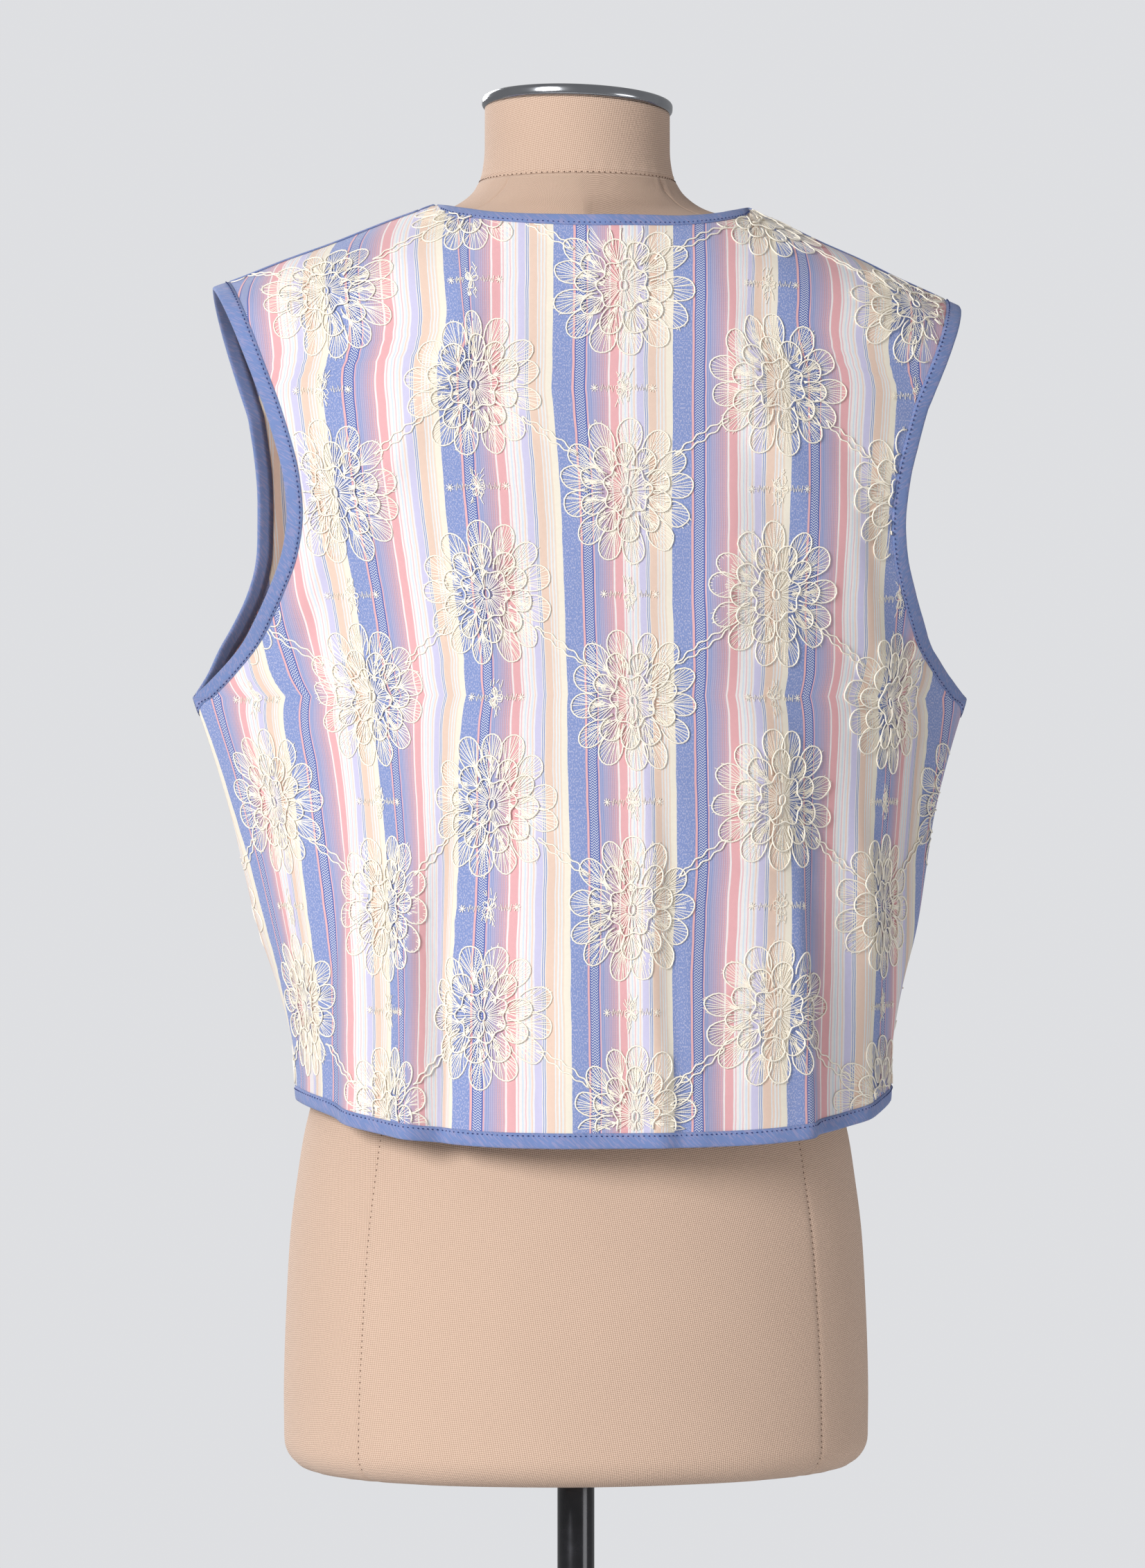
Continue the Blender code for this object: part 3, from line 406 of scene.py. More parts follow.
def folded(side, points, shares):
    """The grid with its folds pressed in along its normals."""
    depth = np.zeros(points.shape[:2])
    x, z = points[..., 0], points[..., 2]
    for panel, foot_x, foot_z, head_x, head_z, width, fold_depth in FOLDS:
        if panel != side:
            continue
        along = (z - foot_z) / (head_z - foot_z)
        middle = foot_x + (head_x - foot_x) * along + FOLD_SWAY * np.sin(z / 23.0 + foot_x)
        fade = 1.0 / (1.0 + np.exp((z - head_z) / FOLD_FADE * FADE_STEEPNESS))
        if foot_z > SEAM_ROWS[UNDERARM, 0] - 20:
            fade = fade / (1.0 + np.exp((foot_z - z) / FOLD_FADE * FADE_STEEPNESS))
        depth += fold_depth * fade * np.exp(-(((x - middle) / width) ** 2))
    depth *= 1.0 - np.minimum(np.abs(shares), 1.0) ** FOLD_EDGE_POWER
    ripple = RIPPLE * np.sin(x / 9.0 + 2.0 * np.sin(z / 41.0)) * np.sin(z / 27.0 + x / 60.0)
    ripple *= 1.0 - np.minimum(np.abs(shares), 1.0) ** RIPPLE_EDGE_POWER
    return points + surface_normals(points, side) * (depth + ripple)[..., None]


def row_levels(side, top_levels):
    """The level of each grid row in each column: even up to the underarm, then even along the cloth."""
    low = np.linspace(0.0, UNDERARM, LOW_ROWS, endpoint=False)
    samples = np.linspace(UNDERARM, YOKE + 1.0, SAMPLES)
    guide = plain_cloth(side, np.full(SAMPLES, NECK_SHARE), samples)
    lengths = walked(guide)
    even = np.interp(np.linspace(0.0, lengths[-1], HIGH_ROWS), lengths, samples)
    shares = (even - UNDERARM) / (YOKE + 1.0 - UNDERARM)
    high = UNDERARM + shares[:, None] * (top_levels - UNDERARM)
    return np.vstack([np.repeat(low[:, None], len(top_levels), axis=1), high])


def cloth_heights(points, levels):
    """How high each point lies on the cloth: its height, and over the shoulder the way along the roll."""
    steps = np.diff(points, axis=0)
    on_roll = soft_step(levels[1:], YOKE - 1.0, YOKE)
    rise = np.hypot(steps[..., 2], steps[..., 1] * on_roll)
    return points[0, :, 2] + totals(rise, 0)


def band_places(points):
    """How far across the cloth each point of the back lies, in millimetres from a blue band's edge."""
    seen = points @ rightward
    across = np.empty(seen.shape)
    middle = seen.shape[1] // 2
    for r in range(len(points)):
        for c in range(seen.shape[1]):
            height = points[r, c, 2]
            starts = [np.interp(height, BAND_ROWS[:, 0], column) for column in BAND_ROWS[:, 1:].T]
            across[r, c] = np.interp(seen[r, c], starts, BAND_NUMBERS * BAND_REPEAT)
            if seen[r, c] > starts[-1] or seen[r, c] < starts[0]:
                nearest = -1 if seen[r, c] > starts[-1] else 0
                across[r, c] += seen[r, c] - starts[nearest]
    lengths = np.linalg.norm(np.diff(points, axis=1), axis=2)
    steps = np.clip(-np.diff(across, axis=1), LEAST_STRETCH * lengths, MOST_STRETCH * lengths)
    placed = totals(-steps, 1)
    return placed + (across[:, middle] - placed[:, middle])[:, None]


back_shares = np.sin(np.linspace(-math.pi / 2, math.pi / 2, BACK_PANEL_COLUMNS))
roll_samples = np.linspace(YOKE - 2.0, YOKE + 1.0, SAMPLES)
back_tops = []
for share in back_shares:
    reach = abs(share) / NECK_SHARE
    neck_rise = min(reach, 1.0) ** BACK_NECK_SQUARENESS
    neck_height = BACK_NECK_Z + (NECK_POINT[2] - BACK_NECK_Z) * neck_rise
    heights = plain_cloth("back", np.full(SAMPLES, share), roll_samples)[:, 2]
    back_tops.append(YOKE + 1.0 if reach >= 1.0 else np.interp(neck_height, heights, roll_samples))
back_levels = row_levels("back", np.array(back_tops))
back_grid_shares = np.repeat(back_shares[None, :], len(back_levels), axis=0)
back_plain = plain_cloth("back", back_grid_shares, back_levels)
back_points = folded("back", eased_rows(back_plain, back_grid_shares), back_grid_shares)
back_across = band_places(back_plain)
back_up = cloth_heights(back_plain, back_levels)


def half_walls(side, points, shares):
    """Each grid point's half-thickness vector, mitred along the side and shoulder seams."""
    halves = surface_normals(points, side)
    rows, columns = shares.shape
    for r in range(rows):
        for c in (0, columns - 1):
            if abs(shares[r, c]) < 1.0 - SHARE_SLACK or r > LOW_ROWS:
                continue
            run = points[min(r + 1, LOW_ROWS), c] - points[max(r - 1, 0), c]
            run[1] = 0.0
            run = unit(run)
            outward = np.array([math.copysign(1.0, shares[r, c]), 0.0, 0.0])
            outward = unit(outward - run * np.dot(outward, run))
            halves[r, c] = outward / max(np.dot(outward, halves[r, c]), MITRE_LIMIT)
    for c in range(columns):
        if abs(shares[-1, c]) >= NECK_SHARE - SHARE_SLACK:
            run = points[-1, min(c + 1, columns - 1)] - points[-1, max(c - 1, 0)]
            run[1] = 0.0
            run = unit(run)
            outward = unit(np.array([0.0, 0.0, 1.0]) - run * run[2])
            halves[-1, c] = outward / max(np.dot(outward, halves[-1, c]), MITRE_LIMIT)
    return halves * WALL / 2


def seam_opened(side, points, shares):
    """The grid with its side and shoulder seams drawn a little apart from the other panel's."""
    moved = points.copy()
    away = SEAM_SHIFT if side == "back" else -SEAM_SHIFT
    on_side = (np.abs(shares) > 1.0 - SHARE_SLACK) & (np.arange(len(shares))[:, None] <= LOW_ROWS)
    on_side[-1] |= np.abs(shares[-1]) >= NECK_SHARE - SHARE_SLACK
    moved[on_side, 1] += away
    return moved


def link_mesh(name, points, faces, layout=None):
    """An object from points in millimetres, with the place laid flat of each face corner."""
    placed = (np.asarray(points, float).reshape(-1, 3) + (0.0, 0.0, FORM_FOOT)) * MM
    mesh = bpy.data.meshes.new(name)
    mesh.from_pydata(placed.tolist(), [], faces)
    if layout is not None:
        layer = mesh.uv_layers.new(name="UVMap")
        layer.data.foreach_set("uv", (np.asarray(layout).reshape(-1, 2) * MM).astype(np.float32).ravel())
    mesh.shade_smooth()
    thing = bpy.data.objects.new(name, mesh)
    bpy.context.collection.objects.link(thing)
    return thing


def cloth_shell(name, points, halves, across, up):
    """A thin closed shell over a grid: outer and inner skins, joined round the rim."""
    rows, columns = points.shape[:2]
    skin = rows * columns
    ids = np.arange(skin).reshape(rows, columns)
    quads = np.stack([ids[:-1, :-1], ids[:-1, 1:], ids[1:, 1:], ids[1:, :-1]], axis=-1).reshape(-1, 4)
    along, up_edge = points[0, 1] - points[0, 0], points[1, 0] - points[0, 0]
    facing = np.dot(np.cross(along, up_edge), halves[0, 0])
    if facing < 0:
        quads = quads[:, ::-1]
    rim = np.concatenate([ids[0, :], ids[1:, -1], ids[-1, -2::-1], ids[-2:0:-1, 0]])
    following = np.roll(rim, -1)
    walls = np.stack([rim, rim + skin, following + skin, following], axis=-1)
    if facing < 0:
        walls = walls[:, ::-1]
    verts = np.concatenate([(points + halves).reshape(-1, 3), (points - halves).reshape(-1, 3)])
    layout = np.stack([across.ravel(), up.ravel()], axis=-1)
    faces = np.concatenate([quads, quads[:, ::-1] + skin, walls])
    return link_mesh(name, verts, faces.tolist(), layout[faces % skin])


# Stripes of the cotton within one repeat: where each starts, in millimetres, and its colour. The first
# table runs from the blue band to the pink one, and the second from there to the next blue band.
BOLD_STRIPES = [
    (0.0, "768DC9"), (11.2, "EDB2B5"), (12.5, "3A58AA"), (18.9, "E8B0BA"), (19.7, "8D99CA"),
    (22.4, "A79FC4"), (24.8, "B69EBC"), (27.2, "C79FB1"), (29.4, "DAA6B0"), (31.6, "F4EDEC"),
    (32.7, "EBACB0"), (37.8, "F4F1F0"),
]
FINE_STRIPES = [
    (0.0, "F4F1F0"), (38.8, "F0C4C9"), (39.4, "F3F0EE"), (41.0, "D9E5F1"), (42.0, "F3EFEE"),
    (43.0, "F0BFC5"), (43.6, "F5F1EE"), (44.6, "DDE7F1"), (45.6, "F3EEEA"), (46.3, "F3D9C9"),
    (46.9, "EEECF2"), (48.2, "CFCBEA"), (52.2, "F1EAE4"), (52.7, "7B93C8"), (53.2, "F1EEEA"),
    (53.7, "7B93C8"), (54.2, "F2E9E0"), (54.9, "EBCDB9"), (59.4, "E6EEF3"), (60.1, "EFD6C4"),
    (61.3, "E9EFF2"), (62.0, "F0D9C8"), (63.2, "EAEFF0"), (63.9, "F0DCC8"), (65.0, "F5EDDB"),
]
FINE_START = 37.8
THREAD_PITCH = 0.42
STRIPE_WANDER = 0.0012
BRICK_SPAN = (13.3, 18.3)
BRICK_ZIGZAG = 1.55
BRICK_PITCH = 1.5
DOTTED_SPAN = (20.4, 31.4)
PALE_SPAN = (19.7, 31.4)
DOT_COLUMN_PITCH = 1.25
DOT_ROW_PITCH = 0.95
SPECK_SPAN = (-1.0, 11.0)
striped_cotton, cotton, cotton_shader = plain_material(
    "striped_cotton", 0.82, Sheen_Weight=0.12, Sheen_Roughness=0.5,
)
cotton_place = add_node(cotton, "ShaderNodeUVMap", uv_map="UVMap")
waver = noise(cotton, cotton_place.outputs[0], 55.0, 1.0)
cotton_parts = add_node(cotton, "ShaderNodeSeparateXYZ", {0: cotton_place.outputs[0]})
wander = calc(cotton, "SUBTRACT", waver, 0.5)
wavered = calc(cotton, "MULTIPLY_ADD", wander, STRIPE_WANDER, cotton_parts.outputs[0])
repeat_share = calc(cotton, "FRACT", calc(cotton, "DIVIDE", wavered, BAND_REPEAT * MM))
stripe_ramps = []
for stripes in (BOLD_STRIPES, FINE_STRIPES):
    ramp = add_node(cotton, "ShaderNodeValToRGB", {0: repeat_share})
    ramp.color_ramp.interpolation = "CONSTANT"
    while len(ramp.color_ramp.elements) < len(stripes):
        ramp.color_ramp.elements.new(1.0)
    for element, (start, colour) in zip(ramp.color_ramp.elements, stripes):
        element.position = start / BAND_REPEAT
        element.color = linear(colour)
    stripe_ramps.append(ramp.outputs[0])
past_pink = calc(cotton, "GREATER_THAN", repeat_share, FINE_START / BAND_REPEAT)
stripe_colour = mixed(cotton, past_pink, *stripe_ramps)


def within(tree, value, start, end):
    """One where a share of the repeat lies between two places in millimetres, and nothing elsewhere."""
    over = calc(tree, "GREATER_THAN", value, start / BAND_REPEAT)
    return calc(tree, "MULTIPLY", over, calc(tree, "LESS_THAN", value, end / BAND_REPEAT))


def dashes(tree, value, pitch, filled):
    """One along the first part of each pitch of a length in metres."""
    return calc(tree, "LESS_THAN", calc(tree, "FRACT", calc(tree, "DIVIDE", value, pitch * MM)), filled)


zigzag = calc(cotton, "PINGPONG", cotton_parts.outputs[0], BRICK_ZIGZAG * MM)
brick_rows = dashes(cotton, calc(cotton, "ADD", cotton_parts.outputs[1], zigzag), BRICK_PITCH, 0.36)
brick_share = calc(cotton, "MULTIPLY", brick_rows, within(cotton, repeat_share, *BRICK_SPAN))
stripe_colour = mixed(cotton, brick_share, stripe_colour, linear("DDE4F2"))
dot_columns = dashes(cotton, wavered, DOT_COLUMN_PITCH, 0.42)
dotted = calc(cotton, "MULTIPLY", dot_columns, dashes(cotton, cotton_parts.outputs[1], DOT_ROW_PITCH, 0.62))
dotted_share = calc(cotton, "MULTIPLY", dotted, within(cotton, repeat_share, *DOTTED_SPAN))
stripe_colour = mixed(cotton, calc(cotton, "MULTIPLY", dotted_share, 0.6), stripe_colour, linear("6F7FBE"))
pale_columns = dashes(cotton, wavered, DOT_COLUMN_PITCH, 0.25)
pale_share = calc(cotton, "MULTIPLY", pale_columns, within(cotton, repeat_share, *PALE_SPAN))
stripe_colour = mixed(cotton, calc(cotton, "MULTIPLY", pale_share, 0.35), stripe_colour, linear("F3E9EE"))
speck_inputs = {"Vector": cotton_place.outputs[0], "Scale": (1.0, 0.55, 1.0)}
speck_scale = add_node(cotton, "ShaderNodeMapping", speck_inputs)
specks = noise(cotton, speck_scale.outputs[0], 1500.0, 1.0)
speck_share = calc(cotton, "MULTIPLY", calc(cotton, "GREATER_THAN", specks, 0.56), 0.34)
blue_specks = calc(cotton, "MULTIPLY", speck_share, within(cotton, repeat_share, *SPECK_SPAN))
stripe_colour = mixed(cotton, blue_specks, stripe_colour, linear("E9E2EE"))
slubs = noise(cotton, cotton_place.outputs[0], 420.0, 3.0)
slub_share = calc(cotton, "MULTIPLY", slubs, 0.14)
stripe_colour = mixed(cotton, slub_share, stripe_colour, linear("B9A9A6"), "MULTIPLY")
stripe_colour = mixed(cotton, 0.07, stripe_colour, linear("F8F3F4"))
cotton.links.new(stripe_colour, cotton_shader.inputs["Base Color"])
warp_wave = wave(cotton, cotton_parts.outputs[0], THREAD_PITCH)
weft_wave = wave(cotton, cotton_parts.outputs[1], THREAD_PITCH)
weave = calc(cotton, "ADD", calc(cotton, "MULTIPLY", warp_wave, weft_wave), slubs)
cotton_bump = add_node(cotton, "ShaderNodeBump", {"Height": weave, "Distance": 0.00012, "Strength": 0.5})
cotton.links.new(cotton_bump.outputs[0], cotton_shader.inputs["Normal"])

back_halves = half_walls("back", back_points, back_grid_shares)
back_points = seam_opened("back", back_points, back_grid_shares)
back_panel = cloth_shell("back_cloth", back_points, back_halves, back_across, back_up)
back_panel.data.materials.append(striped_cotton)
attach(back_panel, "root")
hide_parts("back_panel")

# The two front panels: the same cotton, cut edge to edge down the middle with a V neck. They hang from the
# shoulder seams and join the back at the side seams.
FRONT_OPENING_HALF = 3.5
FRONT_NECK_Z = 586.0
FRONT_NECK_BEND = 0.85
FRONT_PANEL_COLUMNS = 71
FRONT_STRIPE_START = 9.0


def front_edge_shares(levels):
    """How far across a front panel starts: at its straight edge, then along the neckline."""
    flat = np.minimum(levels, YOKE)
    middle, edge = (plain_cloth("front", np.full(len(levels), share), flat)[:, 0] for share in (0.0, 1.0))
    start = FRONT_OPENING_HALF / (edge - middle)
    neck = plain_cloth("front", np.full(len(levels), NECK_SHARE), levels)[:, 2]
    rise = np.clip((neck - FRONT_NECK_Z) / (NECK_POINT[2] - FRONT_NECK_Z), 0.0, 1.0)
    return start + (NECK_SHARE - start) * rise**FRONT_NECK_BEND


fronts = {}
for side, sign in (("left", 1.0), ("right", -1.0)):
    levels = row_levels("front", np.full(FRONT_PANEL_COLUMNS, YOKE + 1.0))
    spread = np.sin(np.linspace(0.0, math.pi / 2, FRONT_PANEL_COLUMNS))
    starts = front_edge_shares(levels[:, 0])
    shares = sign * (starts[:, None] + (1.0 - starts[:, None]) * spread)
    plain = plain_cloth("front", shares, levels)
    points = folded("front", eased_rows(plain, shares), shares)
    guide_shares = sign * starts[:, None] * np.linspace(0.0, 1.0, 20)
    guide = plain_cloth("front", guide_shares, np.repeat(levels[:, :1], 20, axis=1))
    start_lengths = np.linalg.norm(np.diff(guide, axis=1), axis=2).sum(axis=1)
    lengths = np.linalg.norm(np.diff(plain, axis=1), axis=2)
    across = sign * (start_lengths[:, None] + totals(lengths, 1)) + FRONT_STRIPE_START
    halves = half_walls("front", points, shares)
    points = seam_opened("front", points, shares)
    up = cloth_heights(plain, levels)
    panel = cloth_shell("front_cloth_" + side, points, halves, across, up)
    panel.data.materials.append(striped_cotton)
    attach(panel, "root")
    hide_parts("front_panel_" + side)
    fronts[side] = {
        "piece": panel, "points": points, "halves": halves, "across": across, "up": up, "shares": shares,
    }

# The bindings: strips of blue chambray cut on the bias and folded over every raw edge, the hem, the
# armholes, the back neck and each front edge, each held by one row of navy topstitching near its inner
# fold.
HEM_BINDING_WIDTH = 8.0
ARMHOLE_BINDING_WIDTH = 9.5
NECK_BINDING_WIDTH = 6.5
FRONT_BINDING_WIDTH = 9.0
TAPE_GAP = 0.12
TAPE_THICKNESS = 0.65
TAPE_PLUMPNESS = np.array([0.75, 1.0, 1.0, 0.95, 0.45])
TAPE_SAMPLES = len(TAPE_PLUMPNESS)
TAPE_NOSE = ((0.6, 0.75), (0.0, 0.95), (-0.6, 0.75))
STITCH_FROM_FOLD = 1.7
STITCH_PITCH = 3.0
STITCH_LENGTH = 2.1
STITCH_RADIUS = 0.42
CHAMBRAY_PITCH = 0.5
BIAS_SLANT = 0.785

chambray_tape, chambray, chambray_shader = plain_material(
    "chambray_tape", 0.8, Sheen_Weight=0.15, Sheen_Roughness=0.5,
)
chambray_place = add_node(chambray, "ShaderNodeUVMap", uv_map="UVMap")
bias_inputs = {"Vector": chambray_place.outputs[0], "Rotation": (0, 0, BIAS_SLANT)}
on_bias = add_node(chambray, "ShaderNodeMapping", bias_inputs)
bias_parts = add_node(chambray, "ShaderNodeSeparateXYZ", {0: on_bias.outputs[0]})
thread_inputs = {"Vector": on_bias.outputs[0], "Scale": (1.0, 0.12, 1.0)}
long_threads = add_node(chambray, "ShaderNodeMapping", thread_inputs)
streaks = noise(chambray, long_threads.outputs[0], 1100.0)
pink_threads = calc(chambray, "MULTIPLY", calc(chambray, "GREATER_THAN", streaks, 0.54), 0.42)
tape_colour = mixed(chambray, pink_threads, linear("7E93C8"), linear("C0AECB"))
cloudy = noise(chambray, chambray_place.outputs[0], 160.0, 3.0)
tape_colour = mixed(chambray, calc(chambray, "MULTIPLY", cloudy, 0.5), tape_colour, linear("6A83BC"))
chambray.links.new(tape_colour, chambray_shader.inputs["Base Color"])
bias_wave = wave(chambray, bias_parts.outputs[0], CHAMBRAY_PITCH)
cross_wave = wave(chambray, bias_parts.outputs[1], CHAMBRAY_PITCH)
tape_height = calc(chambray, "ADD", calc(chambray, "MULTIPLY", bias_wave, cross_wave), cloudy)
tape_bump = add_node(chambray, "ShaderNodeBump", {"Height": tape_height, "Distance": 0.0002, "Strength": 0.6})
chambray.links.new(tape_bump.outputs[0], chambray_shader.inputs["Normal"])

navy_thread = mottled_material("navy_thread", 0.6, 900.0, "13225A", "263A7C")


def grid_at(grid, row, column):
    """A grid's value at a fractional row and column."""
    low_row = min(int(row), grid.shape[0] - 2)
    low_column = min(int(column), grid.shape[1] - 2)
    down, right = row - low_row, column - low_column
    low = grid[low_row, low_column] * (1 - right) + grid[low_row, low_column + 1] * right
    high = grid[low_row + 1, low_column] * (1 - right) + grid[low_row + 1, low_column + 1] * right
    return low * (1 - down) + high * down


def inset_place(points, edge, toward, width, edge_run):
    """The fractional grid place that lies a width inside an edge point, measured square to the edge."""
    row, column = edge
    step_row, step_column = toward
    travelled = 0.0
    run = unit(edge_run)
    here = points[row, column]
    place = [float(row), float(column)]
    while travelled < width:
        following = (int(place[0]) + step_row, int(place[1]) + step_column)
        if not (0 <= following[0] < points.shape[0] and 0 <= following[1] < points.shape[1]):
            break
        there = points[following]
        move = there - here
        square = np.linalg.norm(move - run * np.dot(move, run))
        gained = max(square, 0.45 * np.linalg.norm(move))
        if travelled + gained >= width:
            part = (width - travelled) / gained
            return place[0] + step_row * part, place[1] + step_column * part
        travelled += gained
        place = [float(following[0]), float(following[1])]
        here = there
    return tuple(place)


def tape_station(points, halves, edge, inner):
    """Samples from an edge inwards, for one section of a binding."""
    edge, inward = np.array(edge, float), np.array(inner) - edge
    places = [edge + inward * k / (TAPE_SAMPLES - 1) for k in range(TAPE_SAMPLES)]
    return (
        np.array([grid_at(points, *place) for place in places]),
        np.array([grid_at(halves, *place) for place in places]),
    )


def averaged(first, second):
    """The section between two panels at a seam."""
    return tuple((a + b) / 2 for a, b in zip(first, second))


def tape_ring(station, pucker):
    """The closed outline of a binding's section, folded over the edge, and each point's way round it."""
    places, walls = station
    thick = unit(walls[0])
    out = places[0] - places[1]
    out = unit(out - thick * np.dot(out, thick))
    ways = units(walls)
    near = walls + ways * TAPE_GAP
    plump = TAPE_PLUMPNESS[:, None] * (TAPE_THICKNESS + pucker)
    far = near + ways * plump
    corner = np.linalg.norm(far[0])
    outer = [place + offset for place, offset in zip(places[::-1], far[::-1])]
    nose = [places[0] + thick * corner * aside + out * reach for aside, reach in TAPE_NOSE]
    inner = [place - offset for place, offset in zip(places, far)]
    lining = [place - offset for place, offset in zip(places[::-1], near[::-1])]
    lining += [place + offset for place, offset in zip(places, near)]
    ring = np.array(outer + nose + inner + lining)
    closed = np.vstack([ring, ring[:1]])
    return ring, walked(closed)


def lofted(name, rings, layout):
    """A closed tube through equal rings. The layout has one more column than a ring, for where it closes."""
    rings, layout = np.asarray(rings), np.asarray(layout)
    count, size = rings.shape[:2]
    ids = np.arange(count * size).reshape(count, size)
    beside = np.roll(ids, -1, axis=1)
    quads = np.stack([ids[:-1], beside[:-1], beside[1:], ids[1:]], axis=-1).reshape(-1, 4)
    laid = np.stack([layout[:-1, :-1], layout[:-1, 1:], layout[1:, 1:], layout[1:, :-1]], axis=2)
    laid = laid.reshape(-1, 4, 2)
    caps = [ids[0, ::-1], ids[-1]]
    cap_layout = [layout[0, -2::-1], layout[-1, :-1]]
    verts = rings.reshape(-1, 3)
    flat = verts - verts.mean(axis=0)
    triangles = [quads[:, [0, 1, 2]], quads[:, [0, 2, 3]]]
    for cap in caps:
        triangles.append(np.stack([np.full(size - 2, cap[0]), cap[1:-1], cap[2:]], axis=-1))
    corners = flat[np.concatenate(triangles)]
    if (corners[:, 0] * np.cross(corners[:, 1], corners[:, 2])).sum() < 0:
        quads, laid = quads[:, ::-1], laid[:, ::-1]
        caps, cap_layout = [cap[::-1] for cap in caps], [laid_cap[::-1] for laid_cap in cap_layout]
    faces = quads.tolist() + [cap.tolist() for cap in caps]
    return link_mesh(name, verts, faces, np.concatenate([laid.reshape(-1, 2), *cap_layout]))


def stitch_row(name, path, normals, pitch, length, radius, finish):
    """Short stitches along a path: each a flat-ended spindle that dips into the cloth at both ends."""
    lengths = walked(path)
    verts, faces = [], []
    for start in np.arange(pitch / 2, lengths[-1] - length, pitch):
        reach = start + length * np.array([0.0, 0.5, 1.0])
        spots = np.stack([np.interp(reach, lengths, axis) for axis in path.T], axis=-1)
        up = unit(np.array([np.interp(start + length / 2, lengths, axis) for axis in normals.T]))
        aside = unit(np.cross(spots[2] - spots[0], up))
        base = len(verts)
        middle = spots[1] + up * radius * 0.4
        verts += [spots[0] - up * radius, middle + aside * radius, middle + up * radius]
        verts += [middle - aside * radius, middle - up * radius, spots[2] - up * radius]
        for k in range(4):
            near, far = base + 1 + k, base + 1 + (k + 1) % 4
            faces += [(base, near, far), (base + 5, far, near)]
    made = link_mesh(name, verts, faces)
    made.data.materials.append(finish)
    return made


def add_binding(name, stations, node, seed):
    """A binding with its topstitching, through sections given from one end to the other."""
    waver_of = random.Random(seed)
    phases = [waver_of.uniform(0, 6.28) for _ in range(3)]
    rings, layouts, stitch_path, stitch_normals = [], [], [], []
    travelled = 0.0
    before = stations[0][0][0]
    for places, walls in stations:
        travelled += np.linalg.norm(places[0] - before)
        before = places[0]
        pucker = 0.10 * math.sin(travelled / 1.7 + phases[0]) + 0.12 * math.sin(travelled / 4.3 + phases[1])
        ring, lengths = tape_ring((places, walls), pucker)
        rings.append(ring)
        layouts.append(np.stack([np.full(len(lengths), travelled), lengths], axis=-1))
        width = np.linalg.norm(places[-1] - places[0])
        share = 1.0 - STITCH_FROM_FOLD / width
        place = places[0] + (places[-1] - places[0]) * share
        unit_wall = unit(walls[-2])
        stitch_path.append(place + walls[-2] + unit_wall * (TAPE_GAP + TAPE_THICKNESS))
        stitch_normals.append(unit_wall)
    tape = lofted(name, rings, layouts)
    tape.data.materials.append(chambray_tape)
    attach(tape, "root")
    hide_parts(node)
    path, normals = np.array(stitch_path), np.array(stitch_normals)
    stitches = stitch_row(
        name + "_stitches", path, normals, STITCH_PITCH, STITCH_LENGTH, STITCH_RADIUS, navy_thread,
    )
    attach(stitches, "root")
    return [tape, stitches]


def edge_run(points, row, column, along_rows):
    """The direction of a panel's edge at a grid place."""
    if along_rows:
        return points[min(row + 1, len(points) - 1), column] - points[max(row - 1, 0), column]
    return points[row, min(column + 1, points.shape[1] - 1)] - points[row, max(column - 1, 0)]


def stations_along(points, halves, edges, toward, width, along_rows):
    """Binding sections for a list of edge places."""
    found = []
    for row, column in edges:
        run = edge_run(points, row, column, along_rows)
        inner = inset_place(points, (row, column), toward, width, run)
        found.append(tape_station(points, halves, (row, column), inner))
    return found


left, right = fronts["left"], fronts["right"]
last_row, last_column, front_last = len(back_points) - 1, back_points.shape[1] - 1, FRONT_PANEL_COLUMNS - 1
gilet_trim = {"back": [], "left": [], "right": []}


def hem_stations(points, halves, columns):
    """Sections of the hem's binding at the columns of a panel."""
    return stations_along(points, halves, [(0, c) for c in columns], (1, 0), HEM_BINDING_WIDTH, False)


hem = hem_stations(left["points"], left["halves"], range(2, front_last))
back_hem = hem_stations(back_points, back_halves, range(last_column, -1, -1))
for front, place in ((left, 0), (right, -1)):
    seam = hem_stations(front["points"], front["halves"], [front_last])[0]
    back_hem[place] = averaged(seam, back_hem[place])
right_hem = hem_stations(right["points"], right["halves"], range(front_last - 1, 1, -1))
gilet_trim["back"] += add_binding("hem_tape", hem + back_hem + right_hem, "hem_binding", 3)

CORNER_STATIONS = 5
for side, back_column, step in (("left", last_column, -1), ("right", 0, 1)):
    front = fronts[side]
    up_back = []
    for panel_points, panel_halves, column, inward in (
        (back_points, back_halves, back_column, step),
        (front["points"], front["halves"], front_last, -1),
    ):
        rows = [(r, column) for r in range(LOW_ROWS + 1, last_row + 1)]
        run = stations_along(panel_points, panel_halves, rows, (0, inward), ARMHOLE_BINDING_WIDTH, True)
        slope = panel_points[LOW_ROWS + 3, column] - panel_points[LOW_ROWS, column]
        inner_row = inset_place(panel_points, (LOW_ROWS, column), (0, inward), ARMHOLE_BINDING_WIDTH, slope)
        inner_seam = inset_place(panel_points, (LOW_ROWS, column), (-1, 0), ARMHOLE_BINDING_WIDTH, slope)
        corner = []
        for k in range(CORNER_STATIONS):
            share = k / (CORNER_STATIONS - 1)
            inner = np.array(inner_seam) * (1 - share) + np.array(inner_row) * share
            corner.append(tape_station(panel_points, panel_halves, (LOW_ROWS + 0.2 * share, column), inner))
        up_back.append(corner + run)
    over = averaged(up_back[0][-1], up_back[1][-1])
    stations = up_back[0][:-1] + [over] + up_back[1][-2::-1]
    name = "armhole_tape_" + side
    gilet_trim["back"] += add_binding(name, stations, "armhole_binding_" + side, 11 + step)

